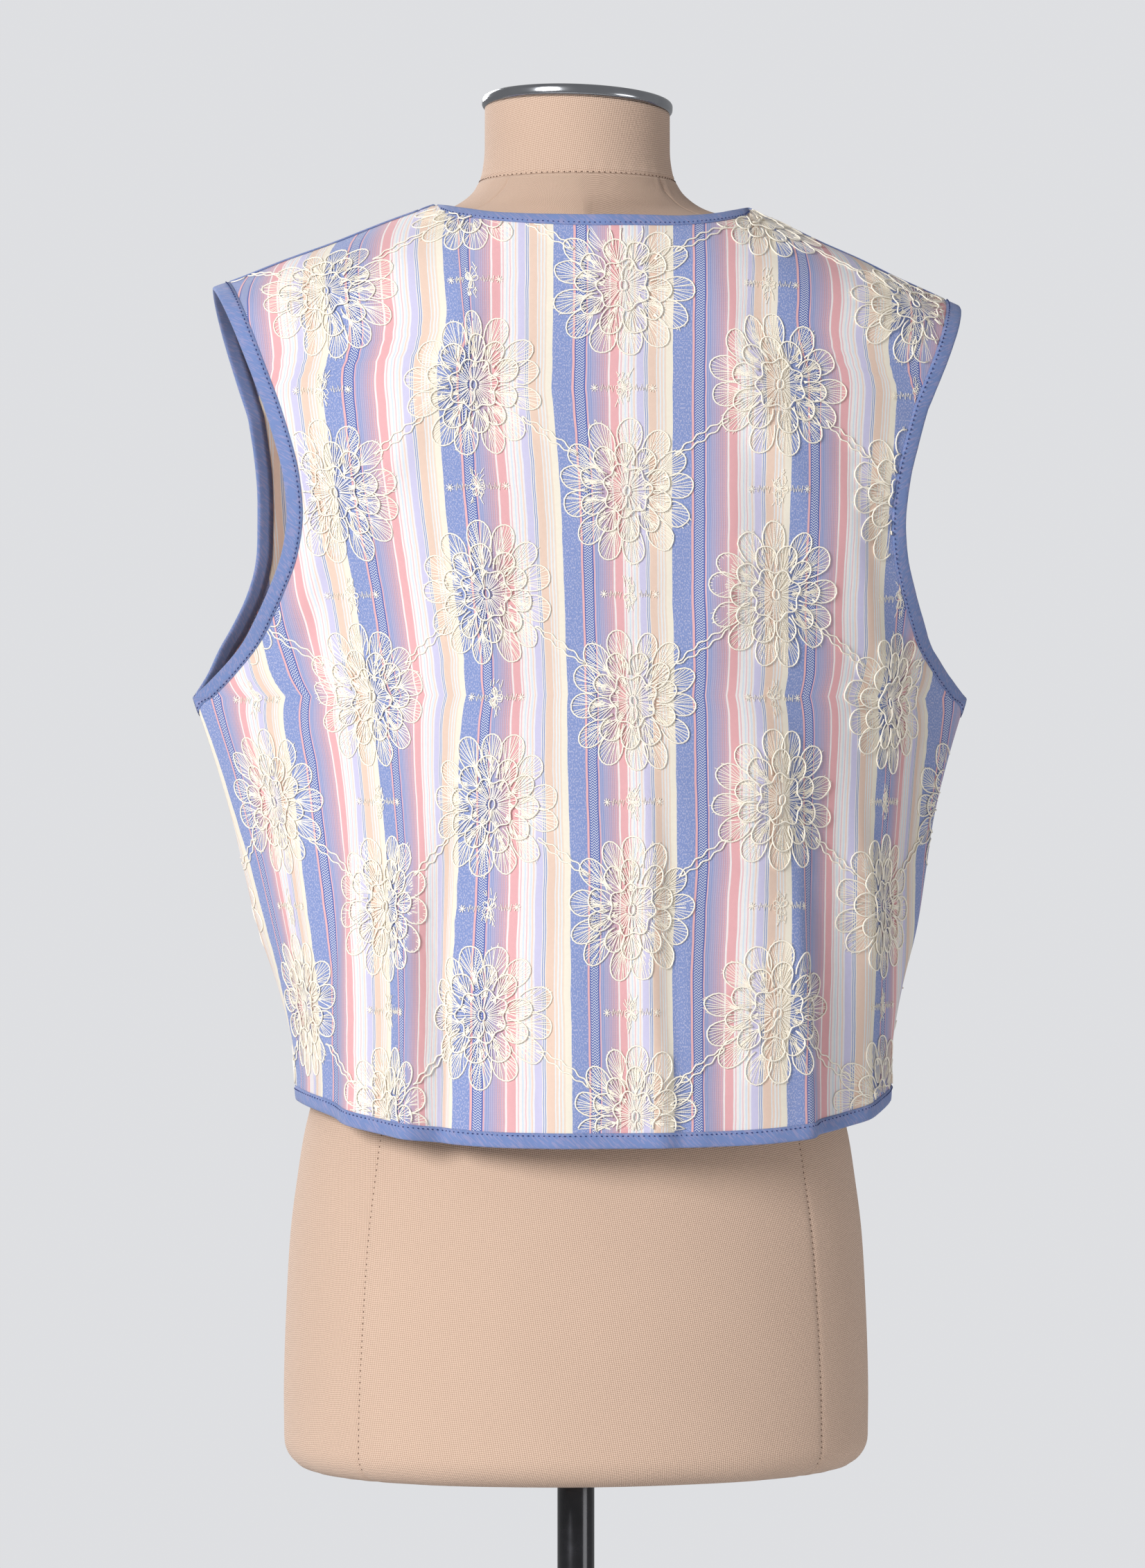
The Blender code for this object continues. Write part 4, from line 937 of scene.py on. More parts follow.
neck_columns = [c for c in range(last_column + 1) if abs(back_shares[c]) < NECK_SHARE - 0.004]
neck_edge = [(last_row, c) for c in neck_columns]
neck_stations = stations_along(back_points, back_halves, neck_edge, (-1, 0), NECK_BINDING_WIDTH, False)
gilet_trim["back"] += add_binding("neck_tape", neck_stations, "neck_binding", 23)
for side in ("left", "right"):
    front = fronts[side]
    edge = [(r, 0) for r in range(last_row, 1, -1)]
    stations = stations_along(front["points"], front["halves"], edge, (0, 1), FRONT_BINDING_WIDTH, True)
    gilet_trim[side] += add_binding("front_tape_" + side, stations, "front_edge_binding_" + side, 31)

# The shoulder tapes: a narrow strip of the same chambray over each shoulder seam, from the front binding to
# the armhole binding.
SHOULDER_TAPE_HALF = 4.0
SHOULDER_TAPE_SECTIONS = 30


def top_section(points, halves, column, reach):
    """The shoulder edge and a place a short way below it, with their walls, at a fractional column."""
    top = len(points) - 1
    edge, edge_wall = grid_at(points, top, column), grid_at(halves, top, column)
    step = np.linalg.norm(edge - grid_at(points, top - 1, column))
    place = top - reach / step
    return edge, edge_wall, grid_at(points, place, column), grid_at(halves, place, column)


for side, sign in (("left", 1.0), ("right", -1.0)):
    front = fronts[side]
    seam_length = np.linalg.norm(front["points"][-1, -1] - front["points"][-1, 0])
    start = (FRONT_BINDING_WIDTH + 0.5) / seam_length
    end = 1.0 - (ARMHOLE_BINDING_WIDTH + 0.5) / seam_length
    rings, layouts = [], []
    for place in np.linspace(start, end, SHOULDER_TAPE_SECTIONS):
        share = NECK_SHARE + (1.0 - NECK_SHARE) * place
        back_column = np.interp(sign * share, back_shares, np.arange(len(back_shares)))
        front_column = np.interp(share, np.abs(front["shares"][-1]), np.arange(FRONT_PANEL_COLUMNS))
        behind = top_section(back_points, back_halves, back_column, SHOULDER_TAPE_HALF)
        before = top_section(front["points"], front["halves"], front_column, SHOULDER_TAPE_HALF)
        ridge, ridge_wall = (behind[0] + before[0]) / 2, (behind[1] + before[1]) / 2
        near = 1.0 + TAPE_GAP / (WALL / 2)
        far = 1.0 + (TAPE_GAP + TAPE_THICKNESS) / (WALL / 2)
        middle_back = (behind[2] + ridge) / 2, (behind[3] + ridge_wall) / 2
        middle_front = (before[2] + ridge) / 2, (before[3] + ridge_wall) / 2
        strip = [behind[2:], middle_back, (ridge, ridge_wall), middle_front, before[2:]]
        upper = [spot + wall * far for spot, wall in strip]
        lower = [spot + wall * near for spot, wall in strip[::-1]]
        rings.append(upper + lower)
        around = np.linspace(0.0, 4 * SHOULDER_TAPE_HALF, len(upper + lower) + 1)
        layouts.append(np.stack([np.full(len(around), place * seam_length), around], axis=-1))
    shoulder_tape = lofted("shoulder_strip_" + side, rings, layouts)
    shoulder_tape.data.materials.append(chambray_tape)
    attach(shoulder_tape, "root")
    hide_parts("shoulder_tape_" + side)
    gilet_trim["back"].append(shoulder_tape)

# The embroidery: cream cord couched on the cloth in staggered rows of layered flowers, filled with finer
# thread, with twisted garlands from flower to flower and small whiter sprays between them.
LATTICE = 1.5
FLOWER_COLUMN_START = 41.0
FLOWER_COLUMN_PITCH = 90.0
FLOWER_COLUMNS = range(-4, 4)
FLOWER_HEIGHTS = {0: (689.0, 571.0, 452.0, 333.0, 214.0), 1: (752.0, 633.0, 513.0, 392.0, 273.0)}
CORD_RADIUS = 0.47
THREAD_RADIUS = 0.21
SPRAY_RADIUS = 0.23
CORD_SIDES = 5
THREAD_SIDES = 3
PETAL_RINGS = (
    {"count": 13, "foot": 21.0, "tip": 41.5, "half": 8.0, "fills": 11, "lift": 0.0},
    {"count": 10, "foot": 12.5, "tip": 28.5, "half": 7.3, "fills": 9, "lift": 0.45},
)
PETAL_STEPS = 14
PETAL_OPEN = 0.75
INNER_RING = 14.0
CENTRE_THREADS = 44
GARLAND_START = 37.0
GARLAND_HALF = 1.9
GARLAND_PITCH = 9.0
GARLAND_DROP = 61.5
SPRAY_REACH = 16.5
PLY_LENGTH = 1.2 * MM
PLY_GIRTH = 1.3 * MM
SEAM_ROOM = 0.6
TRIM_CLEARANCE = 0.3
TUFT_CHANCE = 0.22

cream_cord, cream, cream_shader = plain_material("cream_cord", 0.75, Sheen_Weight=0.1, Sheen_Roughness=0.5)
cream_place = add_node(cream, "ShaderNodeUVMap", uv_map="UVMap")
cream_parts = add_node(cream, "ShaderNodeSeparateXYZ", {0: cream_place.outputs[0]})
cream_object = add_node(cream, "ShaderNodeTexCoord")
lay_along = calc(cream, "MULTIPLY", cream_parts.outputs[0], 2 * math.pi / PLY_LENGTH)
lay_round = calc(cream, "MULTIPLY", cream_parts.outputs[1], 2 * math.pi / PLY_GIRTH)
ply = calc(cream, "SINE", calc(cream, "ADD", lay_along, lay_round))
yarn = noise(cream, cream_object.outputs["Object"], 500.0)
cream_colour = mixed(cream, yarn, linear("FCF3E0"), linear("FFFAF0"))
# Painted shade: the grooves between the twisted plies, where the bump is lowest, are darkened toward E3D3B4.
ply_groove_painted_shade = calc(cream, "MULTIPLY_ADD", ply, -0.05, 0.06)
cream_colour = mixed(cream, ply_groove_painted_shade, cream_colour, linear("E3D3B4"))
cream.links.new(cream_colour, cream_shader.inputs["Base Color"])
cream_bump = add_node(cream, "ShaderNodeBump", {"Height": ply, "Distance": 0.00008, "Strength": 0.6})
cream.links.new(cream_bump.outputs[0], cream_shader.inputs["Normal"])


def cloth_map(points, halves, across, up, edges):
    """The cloth laid flat: for a lattice of places, its outer face, its way out and the room to its trims."""
    if across[0, 0] > across[0, -1]:
        points, halves, across, up = (grid[:, ::-1] for grid in (points, halves, across, up))
    spread = np.arange(math.floor(across.min() / LATTICE), math.ceil(across.max() / LATTICE) + 1) * LATTICE
    rise = np.arange(math.floor(up.min() / LATTICE), math.ceil(up.max() / LATTICE) + 1) * LATTICE
    known = np.concatenate([points + halves, units(halves), up[..., None]], axis=-1)
    by_row = np.array([
        [np.interp(spread, row_across, values, left=np.nan, right=np.nan) for values in row.T]
        for row_across, row in zip(across, known)
    ])
    laid = np.full((len(spread), len(rise), 7), np.nan)
    for column in range(len(spread)):
        rows = np.flatnonzero(~np.isnan(by_row[:, 0, column]))
        if len(rows) < 2:
            continue
        place = np.interp(rise, by_row[rows, 6, column], np.arange(len(rows)), left=np.nan, right=np.nan)
        low = np.minimum(np.nan_to_num(place).astype(int), len(rows) - 2)
        whole = ~np.isnan(place) & (rows[low + 1] - rows[low] == 1)
        share = (place - low)[:, None]
        values = by_row[rows, :6, column]
        laid[column, whole, :6] = (values[low] * (1 - share) + values[low + 1] * share)[whole]
    for column in range(len(spread)):
        room = np.full(len(rise), np.inf)
        for edge, width in edges:
            apart = np.linalg.norm(laid[column, :, None, :3] - edge[None], axis=-1).min(axis=1)
            room = np.minimum(room, apart - width)
        laid[column, :, 6] = room
    return {"start": np.array([spread[0], rise[0]]), "laid": laid}


def on_cloth(flat_map, places):
    """The cloth's outer face, way out and room to the trims at places given across and up."""
    laid = flat_map["laid"]
    lattice = (places - flat_map["start"]) / LATTICE
    low = np.clip(np.floor(lattice).astype(int), 0, np.array(laid.shape[:2]) - 2)
    share = lattice - low
    away = ((share < -0.01) | (share > 1.01)).any(axis=-1)
    a, b = low[..., 0], low[..., 1]
    right, over = share[..., :1], share[..., 1:]
    lower = laid[a, b] * (1 - right) + laid[a + 1, b] * right
    upper = laid[a, b + 1] * (1 - right) + laid[a + 1, b + 1] * right
    found = lower * (1 - over) + upper * over
    found[away] = np.nan
    return found


def add_sewn_lines(name, flat_map, lines, radius, sides, finish):
    """Cords or threads on the cloth along lines of (places, lift), cut at trims and at the cloth's edge."""
    everything = np.concatenate([places for places, _ in lines])
    found = on_cloth(flat_map, everything)
    groups = {}
    start = 0
    for places, lift in lines:
        stretch = found[start:start + len(places)]
        start += len(places)
        on = np.concatenate([[False], stretch[:, 6] > radius + TRIM_CLEARANCE, [False]])
        changes = np.flatnonzero(on[1:] != on[:-1])
        for first, last in zip(changes[::2], changes[1::2]):
            if last - first >= 2:
                groups.setdefault(last - first, []).append((stretch[first:last], lift))
    verts, faces, layout, base = [], [], [], 0
    turns = math.pi / 2 + 2 * math.pi * (np.arange(sides) + 0.5) / sides
    for size, members in groups.items():
        data = np.array([stretch for stretch, _ in members])
        lifts = np.array([lift for _, lift in members])[:, None, None]
        ways = units(data[..., 3:6])
        centres = data[..., :3] + ways * (radius * 0.75 + lifts)
        tangents = units(np.gradient(centres, axis=1))
        asides = units(np.cross(ways, tangents))
        rises = np.cross(tangents, asides)
        spokes = asides[..., None, :] * np.cos(turns)[:, None]
        spokes = spokes + rises[..., None, :] * np.sin(turns)[:, None]
        tubes = centres[..., None, :] + spokes * radius
        count = len(members)
        ids = base + np.arange(count * size * sides).reshape(count, size, sides)
        beside = np.roll(ids, -1, axis=2)
        quads = np.stack([ids[:, :-1], beside[:, :-1], beside[:, 1:], ids[:, 1:]], axis=-1)
        quads = quads.reshape(-1, 4)
        lengths = totals(np.linalg.norm(np.diff(centres, axis=1), axis=-1), 1)
        rounds = np.arange(sides + 1) * 2 * math.pi * radius / sides
        u = np.broadcast_to(lengths[:, :, None], (count, size, sides + 1))
        v = np.broadcast_to(rounds, (count, size, sides + 1))
        uv = np.stack([u, v], axis=-1)
        laid = [uv[:, :-1, :-1], uv[:, :-1, 1:], uv[:, 1:, 1:], uv[:, 1:, :-1]]
        laid = np.stack(laid, axis=-2)
        ends = np.concatenate([ids[:, 0, ::-1], ids[:, -1]])
        end_uv = np.concatenate([uv[:, 0, -2::-1], uv[:, -1, :-1]])
        verts.append(tubes.reshape(-1, 3))
        faces += quads.tolist() + ends.tolist()
        layout += [laid.reshape(-1, 2), end_uv.reshape(-1, 2)]
        base += count * size * sides
    made = link_mesh(name, np.concatenate(verts), faces, np.concatenate(layout))
    if sides == THREAD_SIDES:
        made.data.shade_flat()
    made.data.materials.append(finish)
    return made


def pointing(angle):
    """The direction of an angle on the flat cloth, and the direction square to it."""
    return np.array([math.cos(angle), math.sin(angle)]), np.array([-math.sin(angle), math.cos(angle)])


def flower_lines(middle, chance):
    """The cords and fill threads of one flower: two rings of petals, a wavy inner ring and a central loop."""
    cords, threads = [], []
    middle = np.array(middle)

    def petal_place(angle, foot, tip, half, phi, wobble):
        share = (1.0 - np.cos(phi)) / 2
        along = foot + (tip - foot) * share + wobble * np.sin(3 * phi + angle * 7)
        aside = half * np.sin(phi) * (0.8 + 0.2 * share) + 0.6 * wobble * np.sin(4 * phi + angle * 5)
        direction, square = pointing(angle)
        return middle + np.multiply.outer(along, direction) + np.multiply.outer(aside, square)

    for ring in PETAL_RINGS:
        turn = chance.uniform(0.0, 2 * math.pi)
        for number in range(ring["count"]):
            angle = turn + 2 * math.pi * (number + chance.uniform(-0.14, 0.14)) / ring["count"]
            direction, square = pointing(angle)
            tip = ring["tip"] + chance.uniform(-1.6, 1.2)
            half = ring["half"] * chance.uniform(0.86, 1.03)
            wobble = chance.uniform(-0.45, 0.45)
            phi = np.linspace(PETAL_OPEN, 2 * math.pi - PETAL_OPEN, PETAL_STEPS)
            cords.append((petal_place(angle, ring["foot"], tip, half, phi, wobble), ring["lift"] + 0.12))
            for leg in range(ring["fills"]):
                spread = (leg + 0.5) / ring["fills"] * 2 - 1 + chance.uniform(-0.06, 0.06)
                phi = math.pi * (1 + 0.50 * spread)
                finish_at = petal_place(angle, ring["foot"], tip, half * 0.95, phi, 0.0)
                foot_spread = half * (0.34 * spread + 0.06 * (-1) ** leg)
                back = ring["foot"] - 3.5 + chance.uniform(0.0, 2.5)
                begin = middle + direction * back + square * foot_spread
                slack = [chance.uniform(-0.25, 0.25), chance.uniform(-0.25, 0.25)]
                halfway = (begin + finish_at) / 2 + slack
                threads.append((np.array([begin, halfway, finish_at]), ring["lift"]))
            if ring is PETAL_RINGS[0] and chance.random() < TUFT_CHANCE:
                for _ in range(7):
                    at = petal_place(angle, ring["foot"], tip, half, math.pi * chance.uniform(0.6, 1.4), 0.0)
                    reach = direction * chance.uniform(0.9, 1.9)
                    sway = np.array([chance.uniform(-0.7, 0.7), chance.uniform(-0.7, 0.7)])
                    threads.append((np.array([at - reach * 0.5, at + reach * 0.4, at + reach + sway]), 0.3))
    phases = [chance.uniform(0.0, 2 * math.pi) for _ in range(3)]

    def inner_reach(angle):
        return INNER_RING + 1.5 * np.sin(7 * angle + phases[0]) + 0.7 * np.sin(3 * angle + phases[1])

    around = np.linspace(0.0, 2 * math.pi, 50)
    ring_places = middle + np.stack([np.cos(around), np.sin(around)], axis=-1) * inner_reach(around)[:, None]
    cords.append((ring_places, 1.0))
    for spoke in range(CENTRE_THREADS):
        angle = 2 * math.pi * (spoke + chance.uniform(-0.3, 0.3)) / CENTRE_THREADS
        reaches = np.array([3.2 + chance.uniform(0.0, 1.0), 8.0, inner_reach(angle) - 0.2])
        bend = np.array([0.0, chance.uniform(-0.03, 0.03), chance.uniform(-0.03, 0.03)])
        spokes = np.stack([np.cos(angle + bend), np.sin(angle + bend)], axis=-1) * reaches[:, None]
        threads.append((middle + spokes, 0.75))
    lean = chance.choice((-1.0, 1.0)) * math.pi / 2 + chance.uniform(-0.35, 0.35)
    loop_turn = np.linspace(0.25, 2 * math.pi - 0.25, 14)
    loop = np.stack([-3.0 * np.cos(loop_turn), 1.9 * np.sin(loop_turn)], axis=-1)
    tail = np.array([[-4.6, -0.3], [-6.8, -0.5], [-9.0, 0.3], [-11.0, 1.8], [-12.6, 4.0]])
    line = np.concatenate([loop, tail])
    direction, square = pointing(lean)
    turned = np.multiply.outer(line[:, 0], direction) + np.multiply.outer(line[:, 1], square)
    cords.append((middle + turned, 1.15))
    return cords, threads


def garland_lines(start, end, chance):
    """Two wavy cords from the rim of one flower to the rim of the next."""
    start, end = np.array(start), np.array(end)
    along = unit(end - start)
    square = np.array([-along[1], along[0]])
    first, last = start + along * GARLAND_START, end - along * GARLAND_START
    length = np.linalg.norm(last - first)
    share = np.linspace(-0.04, 1.04, max(int(length / 1.6), 8))
    lines = []
    for side in (-1.0, 1.0):
        phase = chance.uniform(0.0, 6.28)
        offset = side * GARLAND_HALF * np.clip(np.sin(np.pi * np.clip(share, 0, 1)), 0, 1) ** 0.5
        offset = offset + 0.75 * np.sin(share * length * 2 * math.pi / GARLAND_PITCH + phase)
        places = first + np.multiply.outer(share, last - first) + np.multiply.outer(offset, square)
        lines.append((places, 0.15))
    return lines


def spray_lines(middle, chance):
    """A small spray: a tangled knot with a tuft above and below it, and a zigzag to a star on either side."""
    lines = []
    middle = np.array(middle)
    for side in (-1.0, 1.0):
        star = middle + [side * SPRAY_REACH, chance.uniform(-0.5, 0.5)]
        for ray in range(4):
            reach = pointing(math.pi * ray / 4 + 0.2)[0] * 2.3
            lines.append((np.array([star - reach, star + reach]), 0.3))
        steps = np.arange(11)
        runs = side * (SPRAY_REACH - 3.0 - (SPRAY_REACH - 8.5) * steps / 10)
        peaks = (1.5 + 0.9 * np.sin(steps * 1.7 + side)) * (-1.0) ** steps
        lines.append((middle + np.stack([runs, peaks], axis=-1), 0.2))
    for number in range(4):
        turn = np.linspace(0.0, 7.0, 26) + chance.uniform(0.0, 6.28)
        reach = 0.45 + 0.5 * np.sin(turn * chance.uniform(2.3, 3.1) + number)
        knot = np.stack([4.8 * reach * np.cos(turn), 6.2 * reach * np.sin(turn)], axis=-1)
        lines.append((middle + knot, 0.1 * number))
    for _ in range(16):
        side = chance.choice((-1.0, 1.0))
        foot = middle + [chance.uniform(-3.5, 3.5), side * chance.uniform(2.5, 8.0)]
        tip = foot + [chance.uniform(-2.4, 2.4), side * chance.uniform(1.8, 4.6)]
        lines.append((np.array([foot, (foot + tip) / 2, tip]), 0.25))
    return lines


back_armholes = [(back_points[LOW_ROWS:, c], ARMHOLE_BINDING_WIDTH) for c in (0, -1)]
back_sides = [(back_points[:LOW_ROWS, c], SEAM_ROOM) for c in (0, -1)]
on_neck = np.abs(back_shares) < NECK_SHARE
back_ends = [(back_points[0], HEM_BINDING_WIDTH), (back_points[-1, on_neck], NECK_BINDING_WIDTH)]
back_ends.append((back_points[-1, ~on_neck], SHOULDER_TAPE_HALF))
back_edges = back_ends + back_armholes + back_sides
panel_maps = {"back": cloth_map(back_points, back_halves, back_across, back_up, back_edges)}
for side in ("left", "right"):
    front = fronts[side]
    points = front["points"]
    edges = [
        (points[0], HEM_BINDING_WIDTH),
        (points[:, 0], FRONT_BINDING_WIDTH),
        (points[LOW_ROWS:, -1], ARMHOLE_BINDING_WIDTH),
        (points[:LOW_ROWS, -1], SEAM_ROOM),
        (points[-1], SHOULDER_TAPE_HALF),
    ]
    panel_maps[side] = cloth_map(points, front["halves"], front["across"], front["up"], edges)

for side, flat_map in panel_maps.items():
    cords, threads, sprays = [], [], []
    chance = random.Random({"back": 5, "left": 17, "right": 29}[side])
    for column in FLOWER_COLUMNS:
        across = FLOWER_COLUMN_START + FLOWER_COLUMN_PITCH * column
        heights = FLOWER_HEIGHTS[column % 2]
        for height in heights:
            place = (across + chance.uniform(-1.5, 1.5), height + chance.uniform(-1.5, 1.5))
            flower_cords, flower_threads = flower_lines(place, chance)
            cords += flower_cords
            threads += flower_threads
        for above, below in zip(heights, heights[1:]):
            sprays += spray_lines((across + chance.uniform(-1.0, 1.0), (above + below) / 2), chance)
        if column % 2:
            for height in heights:
                for beside in (-1, 1):
                    end = (across + beside * FLOWER_COLUMN_PITCH, height - GARLAND_DROP)
                    cords += garland_lines((across, height), end, chance)
    trims = []
    for part, lines, radius, sides in (
        ("cords", cords, CORD_RADIUS, CORD_SIDES),
        ("threads", threads, THREAD_RADIUS, THREAD_SIDES),
        ("sprays", sprays, SPRAY_RADIUS, THREAD_SIDES),
    ):
        sewn = add_sewn_lines("embroidered_" + part + "_" + side, flat_map, lines, radius, sides, cream_cord)
        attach(sewn, "root")
        trims.append(sewn)
    gilet_trim[side] += trims

# The dress form's body: a padded shell covered with natural canvas, cut in panels whose seams run down
# either side of the back and the front, topstitched with brown thread, and gathered under its lower edge.
# Each row: height, half width, depth at the side, at the front and at the back, and how square the ring is.
FORM_ROWS = np.array([
    (18, 173.0, 4, -118, 126, 2.10),
    (50, 173.2, 4, -118, 126, 2.10),
    (90, 172.0, 4, -117, 126, 2.10),
    (136, 169.5, 4, -114, 123, 2.10),
    (169, 165.5, 4, -111, 119, 2.10),
    (202, 160.0, 4, -107, 114, 2.10),
    (246, 148.0, 3, -100, 104, 2.10),
    (290, 136.0, 2, -94, 95, 2.10),
    (341, 125.5, 1, -91, 89, 2.10),
    (386, 130.0, 0, -97, 91, 2.10),
    (426, 138.0, 0, -105, 95, 2.10),
    (466, 146.0, 0, -113, 99, 2.15),
    (511, 151.0, 2, -116, 102, 2.20),
    (556, 154.0, 5, -106, 103, 2.25),
    (600, 160.0, 8, -92, 101, 2.30),
    (640, 171.0, 11, -84, 96, 2.30),
    (668, 178.0, 13, -74, 86, 2.00),
    (690, 176.0, 15, -66, 80, 1.65),
    (706, 165.0, 17, -60, 75, 1.45),
    (717, 145.5, 18.5, -56, 71, 1.35),
    (726, 124.5, 21.0, -53, 68, 1.27),
    (732, 108.7, 22.6, -51.5, 66.5, 1.25),
    (736, 95.7, 23.2, -50.5, 66, 1.27),
    (740, 81.5, 20.0, -50, 66, 1.40),
    (744, 72.0, 16.0, -50, 66, 1.60),
    (751, 63.0, 11.0, -50, 66, 1.85),
    (758, 58.5, 8.0, -50.5, 66.5, 2.00),
])
FORM_EDGE_RADIUS = 18.0
FORM_ROW_STEPS = 5
FORM_EDGE_STEPS = 9
SEAM_SHARE_LOW = 0.782
SEAM_SHARE_HIGH = 0.755
SEAM_SETTLED = 209.0
SEAM_DEPTH = 0.55
SEAM_WIDTH = 0.010
QUARTER_OUTER = (0.0, 0.1, 0.2, 0.3, 0.4, 0.5, 0.6, 0.7, 0.78, 0.85, 0.91, 0.95, 0.972, 0.986, 0.994)
QUARTER_INNER = (0.0, 0.006, 0.014, 0.028, 0.05, 0.09, 0.15, 0.22, 0.31, 0.4, 0.5, 0.6, 0.7, 0.8, 0.9)
FORM_STITCH_PITCH = 3.4
FORM_STITCH_LENGTH = 1.5
FORM_STITCH_RADIUS = 0.3
FORM_Y = 4.0
STITCHED_RINGS = slice(6, -44)
CANVAS_PITCH = 1.6
CANVAS_SLANT = 0.62
BOTTOM_GATHER = 0.5
TOP_GATHER = 0.45
TOP_GATHER_Z = 753.0

linen_canvas, linen, linen_shader = plain_material(
    "linen_canvas", 0.88, Sheen_Weight=0.15, Sheen_Roughness=0.6,
)
linen_place = add_node(linen, "ShaderNodeUVMap", uv_map="UVMap")
slant_inputs = {"Vector": linen_place.outputs[0], "Rotation": (0, 0, CANVAS_SLANT)}
on_slant = add_node(linen, "ShaderNodeMapping", slant_inputs)
linen_parts = add_node(linen, "ShaderNodeSeparateXYZ", {0: on_slant.outputs[0]})
linen_warp = wave(linen, linen_parts.outputs[0], CANVAS_PITCH)
linen_weft = wave(linen, linen_parts.outputs[1], CANVAS_PITCH)
linen_check = calc(linen, "MULTIPLY", linen_warp, linen_weft)
linen_slubs = noise(linen, linen_place.outputs[0], 700.0, 3.0)
linen_clouds = noise(linen, linen_place.outputs[0], 26.0)
linen_tone = calc(linen, "MULTIPLY_ADD", linen_check, 0.55, 0.32)
linen_colour = mixed(linen, linen_tone, linear("E6C9B3"), linear("A27F68"))
linen_mottle = calc(linen, "MULTIPLY", linen_slubs, 0.35)
linen_colour = mixed(linen, linen_mottle, linen_colour, linear("B99B88"))
linen_shade = calc(linen, "MULTIPLY", linen_clouds, 0.10)
linen_colour = mixed(linen, linen_shade, linen_colour, linear("A88974"))
linen.links.new(linen_colour, linen_shader.inputs["Base Color"])
linen_height = calc(linen, "ADD", linen_check, linen_slubs)
linen_bump = add_node(linen, "ShaderNodeBump", {"Height": linen_height, "Distance": 0.00025, "Strength": 0.6})
linen.links.new(linen_bump.outputs[0], linen_shader.inputs["Normal"])

brown_thread = mottled_material("brown_thread", 0.7, 900.0, "4A3226", "6A4C3C")


def form_ring(row, height, inset=0.0):
    """One ring of the body, a rounded square with a shallow groove at each panel seam."""
    _, half, edge_y, front_y, back_y, square = row
    share = SEAM_SHARE_LOW + (SEAM_SHARE_HIGH - SEAM_SHARE_LOW) * min(height / SEAM_SETTLED, 1.0)
    seam = math.acos(share ** (square / 2))
    outer, inner = seam * np.array(QUARTER_OUTER), seam + (math.pi / 2 - seam) * np.array(QUARTER_INNER)
    quarter = np.concatenate([outer, inner])
    depth = SEAM_DEPTH * np.exp(-(((quarter - seam) / SEAM_WIDTH) ** 2))
    mirrored = np.concatenate([quarter, math.pi - np.append(quarter[1:], math.pi / 2)[::-1]])
    depths = np.concatenate([depth, np.append(depth[1:], 0.0)[::-1]])
    turns = np.concatenate([mirrored, mirrored + math.pi])
    depths = np.concatenate([depths, depths]) + inset
    gathers = BOTTOM_GATHER * np.sin(turns * 61.0) * math.exp(-((height / 7.0) ** 2))
    near_top = math.exp(-(((height - TOP_GATHER_Z) / 5.0) ** 2))
    gathers = gathers + TOP_GATHER * np.sin(turns * 43.0) * near_top
    cosine, sine = np.cos(turns), np.sin(turns)
    reach_y = np.where(sine > 0, back_y - edge_y, edge_y - front_y)
    x = (half - depths + gathers) * np.sign(cosine) * np.abs(cosine) ** (2 / square)
    y = edge_y + (reach_y - depths + gathers) * np.sign(sine) * np.abs(sine) ** (2 / square)
    return np.stack([x, y, np.full(len(turns), height)], axis=-1)


form_rings = [form_ring(FORM_ROWS[0], 0.0, FORM_EDGE_RADIUS * 2)]
for step in range(FORM_EDGE_STEPS):
    turn = math.pi / 2 * step / FORM_EDGE_STEPS
    inset = FORM_EDGE_RADIUS * (1.0 - math.sin(turn))
    form_rings.append(form_ring(FORM_ROWS[0], FORM_EDGE_RADIUS * (1.0 - math.cos(turn)), inset))
for place in np.linspace(0.0, len(FORM_ROWS) - 1.0, (len(FORM_ROWS) - 1) * FORM_ROW_STEPS + 1):
    row = through(FORM_ROWS, np.array([place]))[0]
    form_rings.append(form_ring(row, row[0]))
form_rings = np.array(form_rings)


def wrapped_layout(rings):
    """A layout for rings one over another: the way round from the first point, and the way up the side."""
    closed = np.concatenate([rings, rings[:, :1]], axis=1)
    around = totals(np.linalg.norm(np.diff(closed, axis=1), axis=2), 1)
    around = np.broadcast_to(around[len(rings) // 4], around.shape)
    rise = totals(np.linalg.norm(np.diff(closed, axis=0), axis=2), 0)
    return np.stack([around, rise], axis=-1)


def level_ways(path, middle_y):
    """Unit level directions at the points of a path, away from an upright line at a depth."""
    ways = path - [0.0, middle_y, 0.0]
    ways[:, 2] = 0.0
    return units(ways)


form_body = lofted("canvas_body", form_rings, wrapped_layout(form_rings))
form_body.data.materials.append(linen_canvas)
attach(form_body, "root")
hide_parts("form_body")
quarter_size = len(QUARTER_OUTER)
half_size = form_rings.shape[1] // 2
seam_columns = [half * half_size + way for half, way in ((0, quarter_size), (1, -quarter_size))]
seam_columns += [half_size + column for column in seam_columns]
for number, column in enumerate(seam_columns):
    seam_path = form_rings[STITCHED_RINGS, column]
    seam_out = level_ways(seam_path, FORM_Y)
    name = "canvas_seam_stitches_" + str(number + 1)
    row = stitch_row(
        name, seam_path + seam_out * 0.2, seam_out, FORM_STITCH_PITCH, FORM_STITCH_LENGTH, FORM_STITCH_RADIUS,
        brown_thread,
    )
    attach(row, "root")

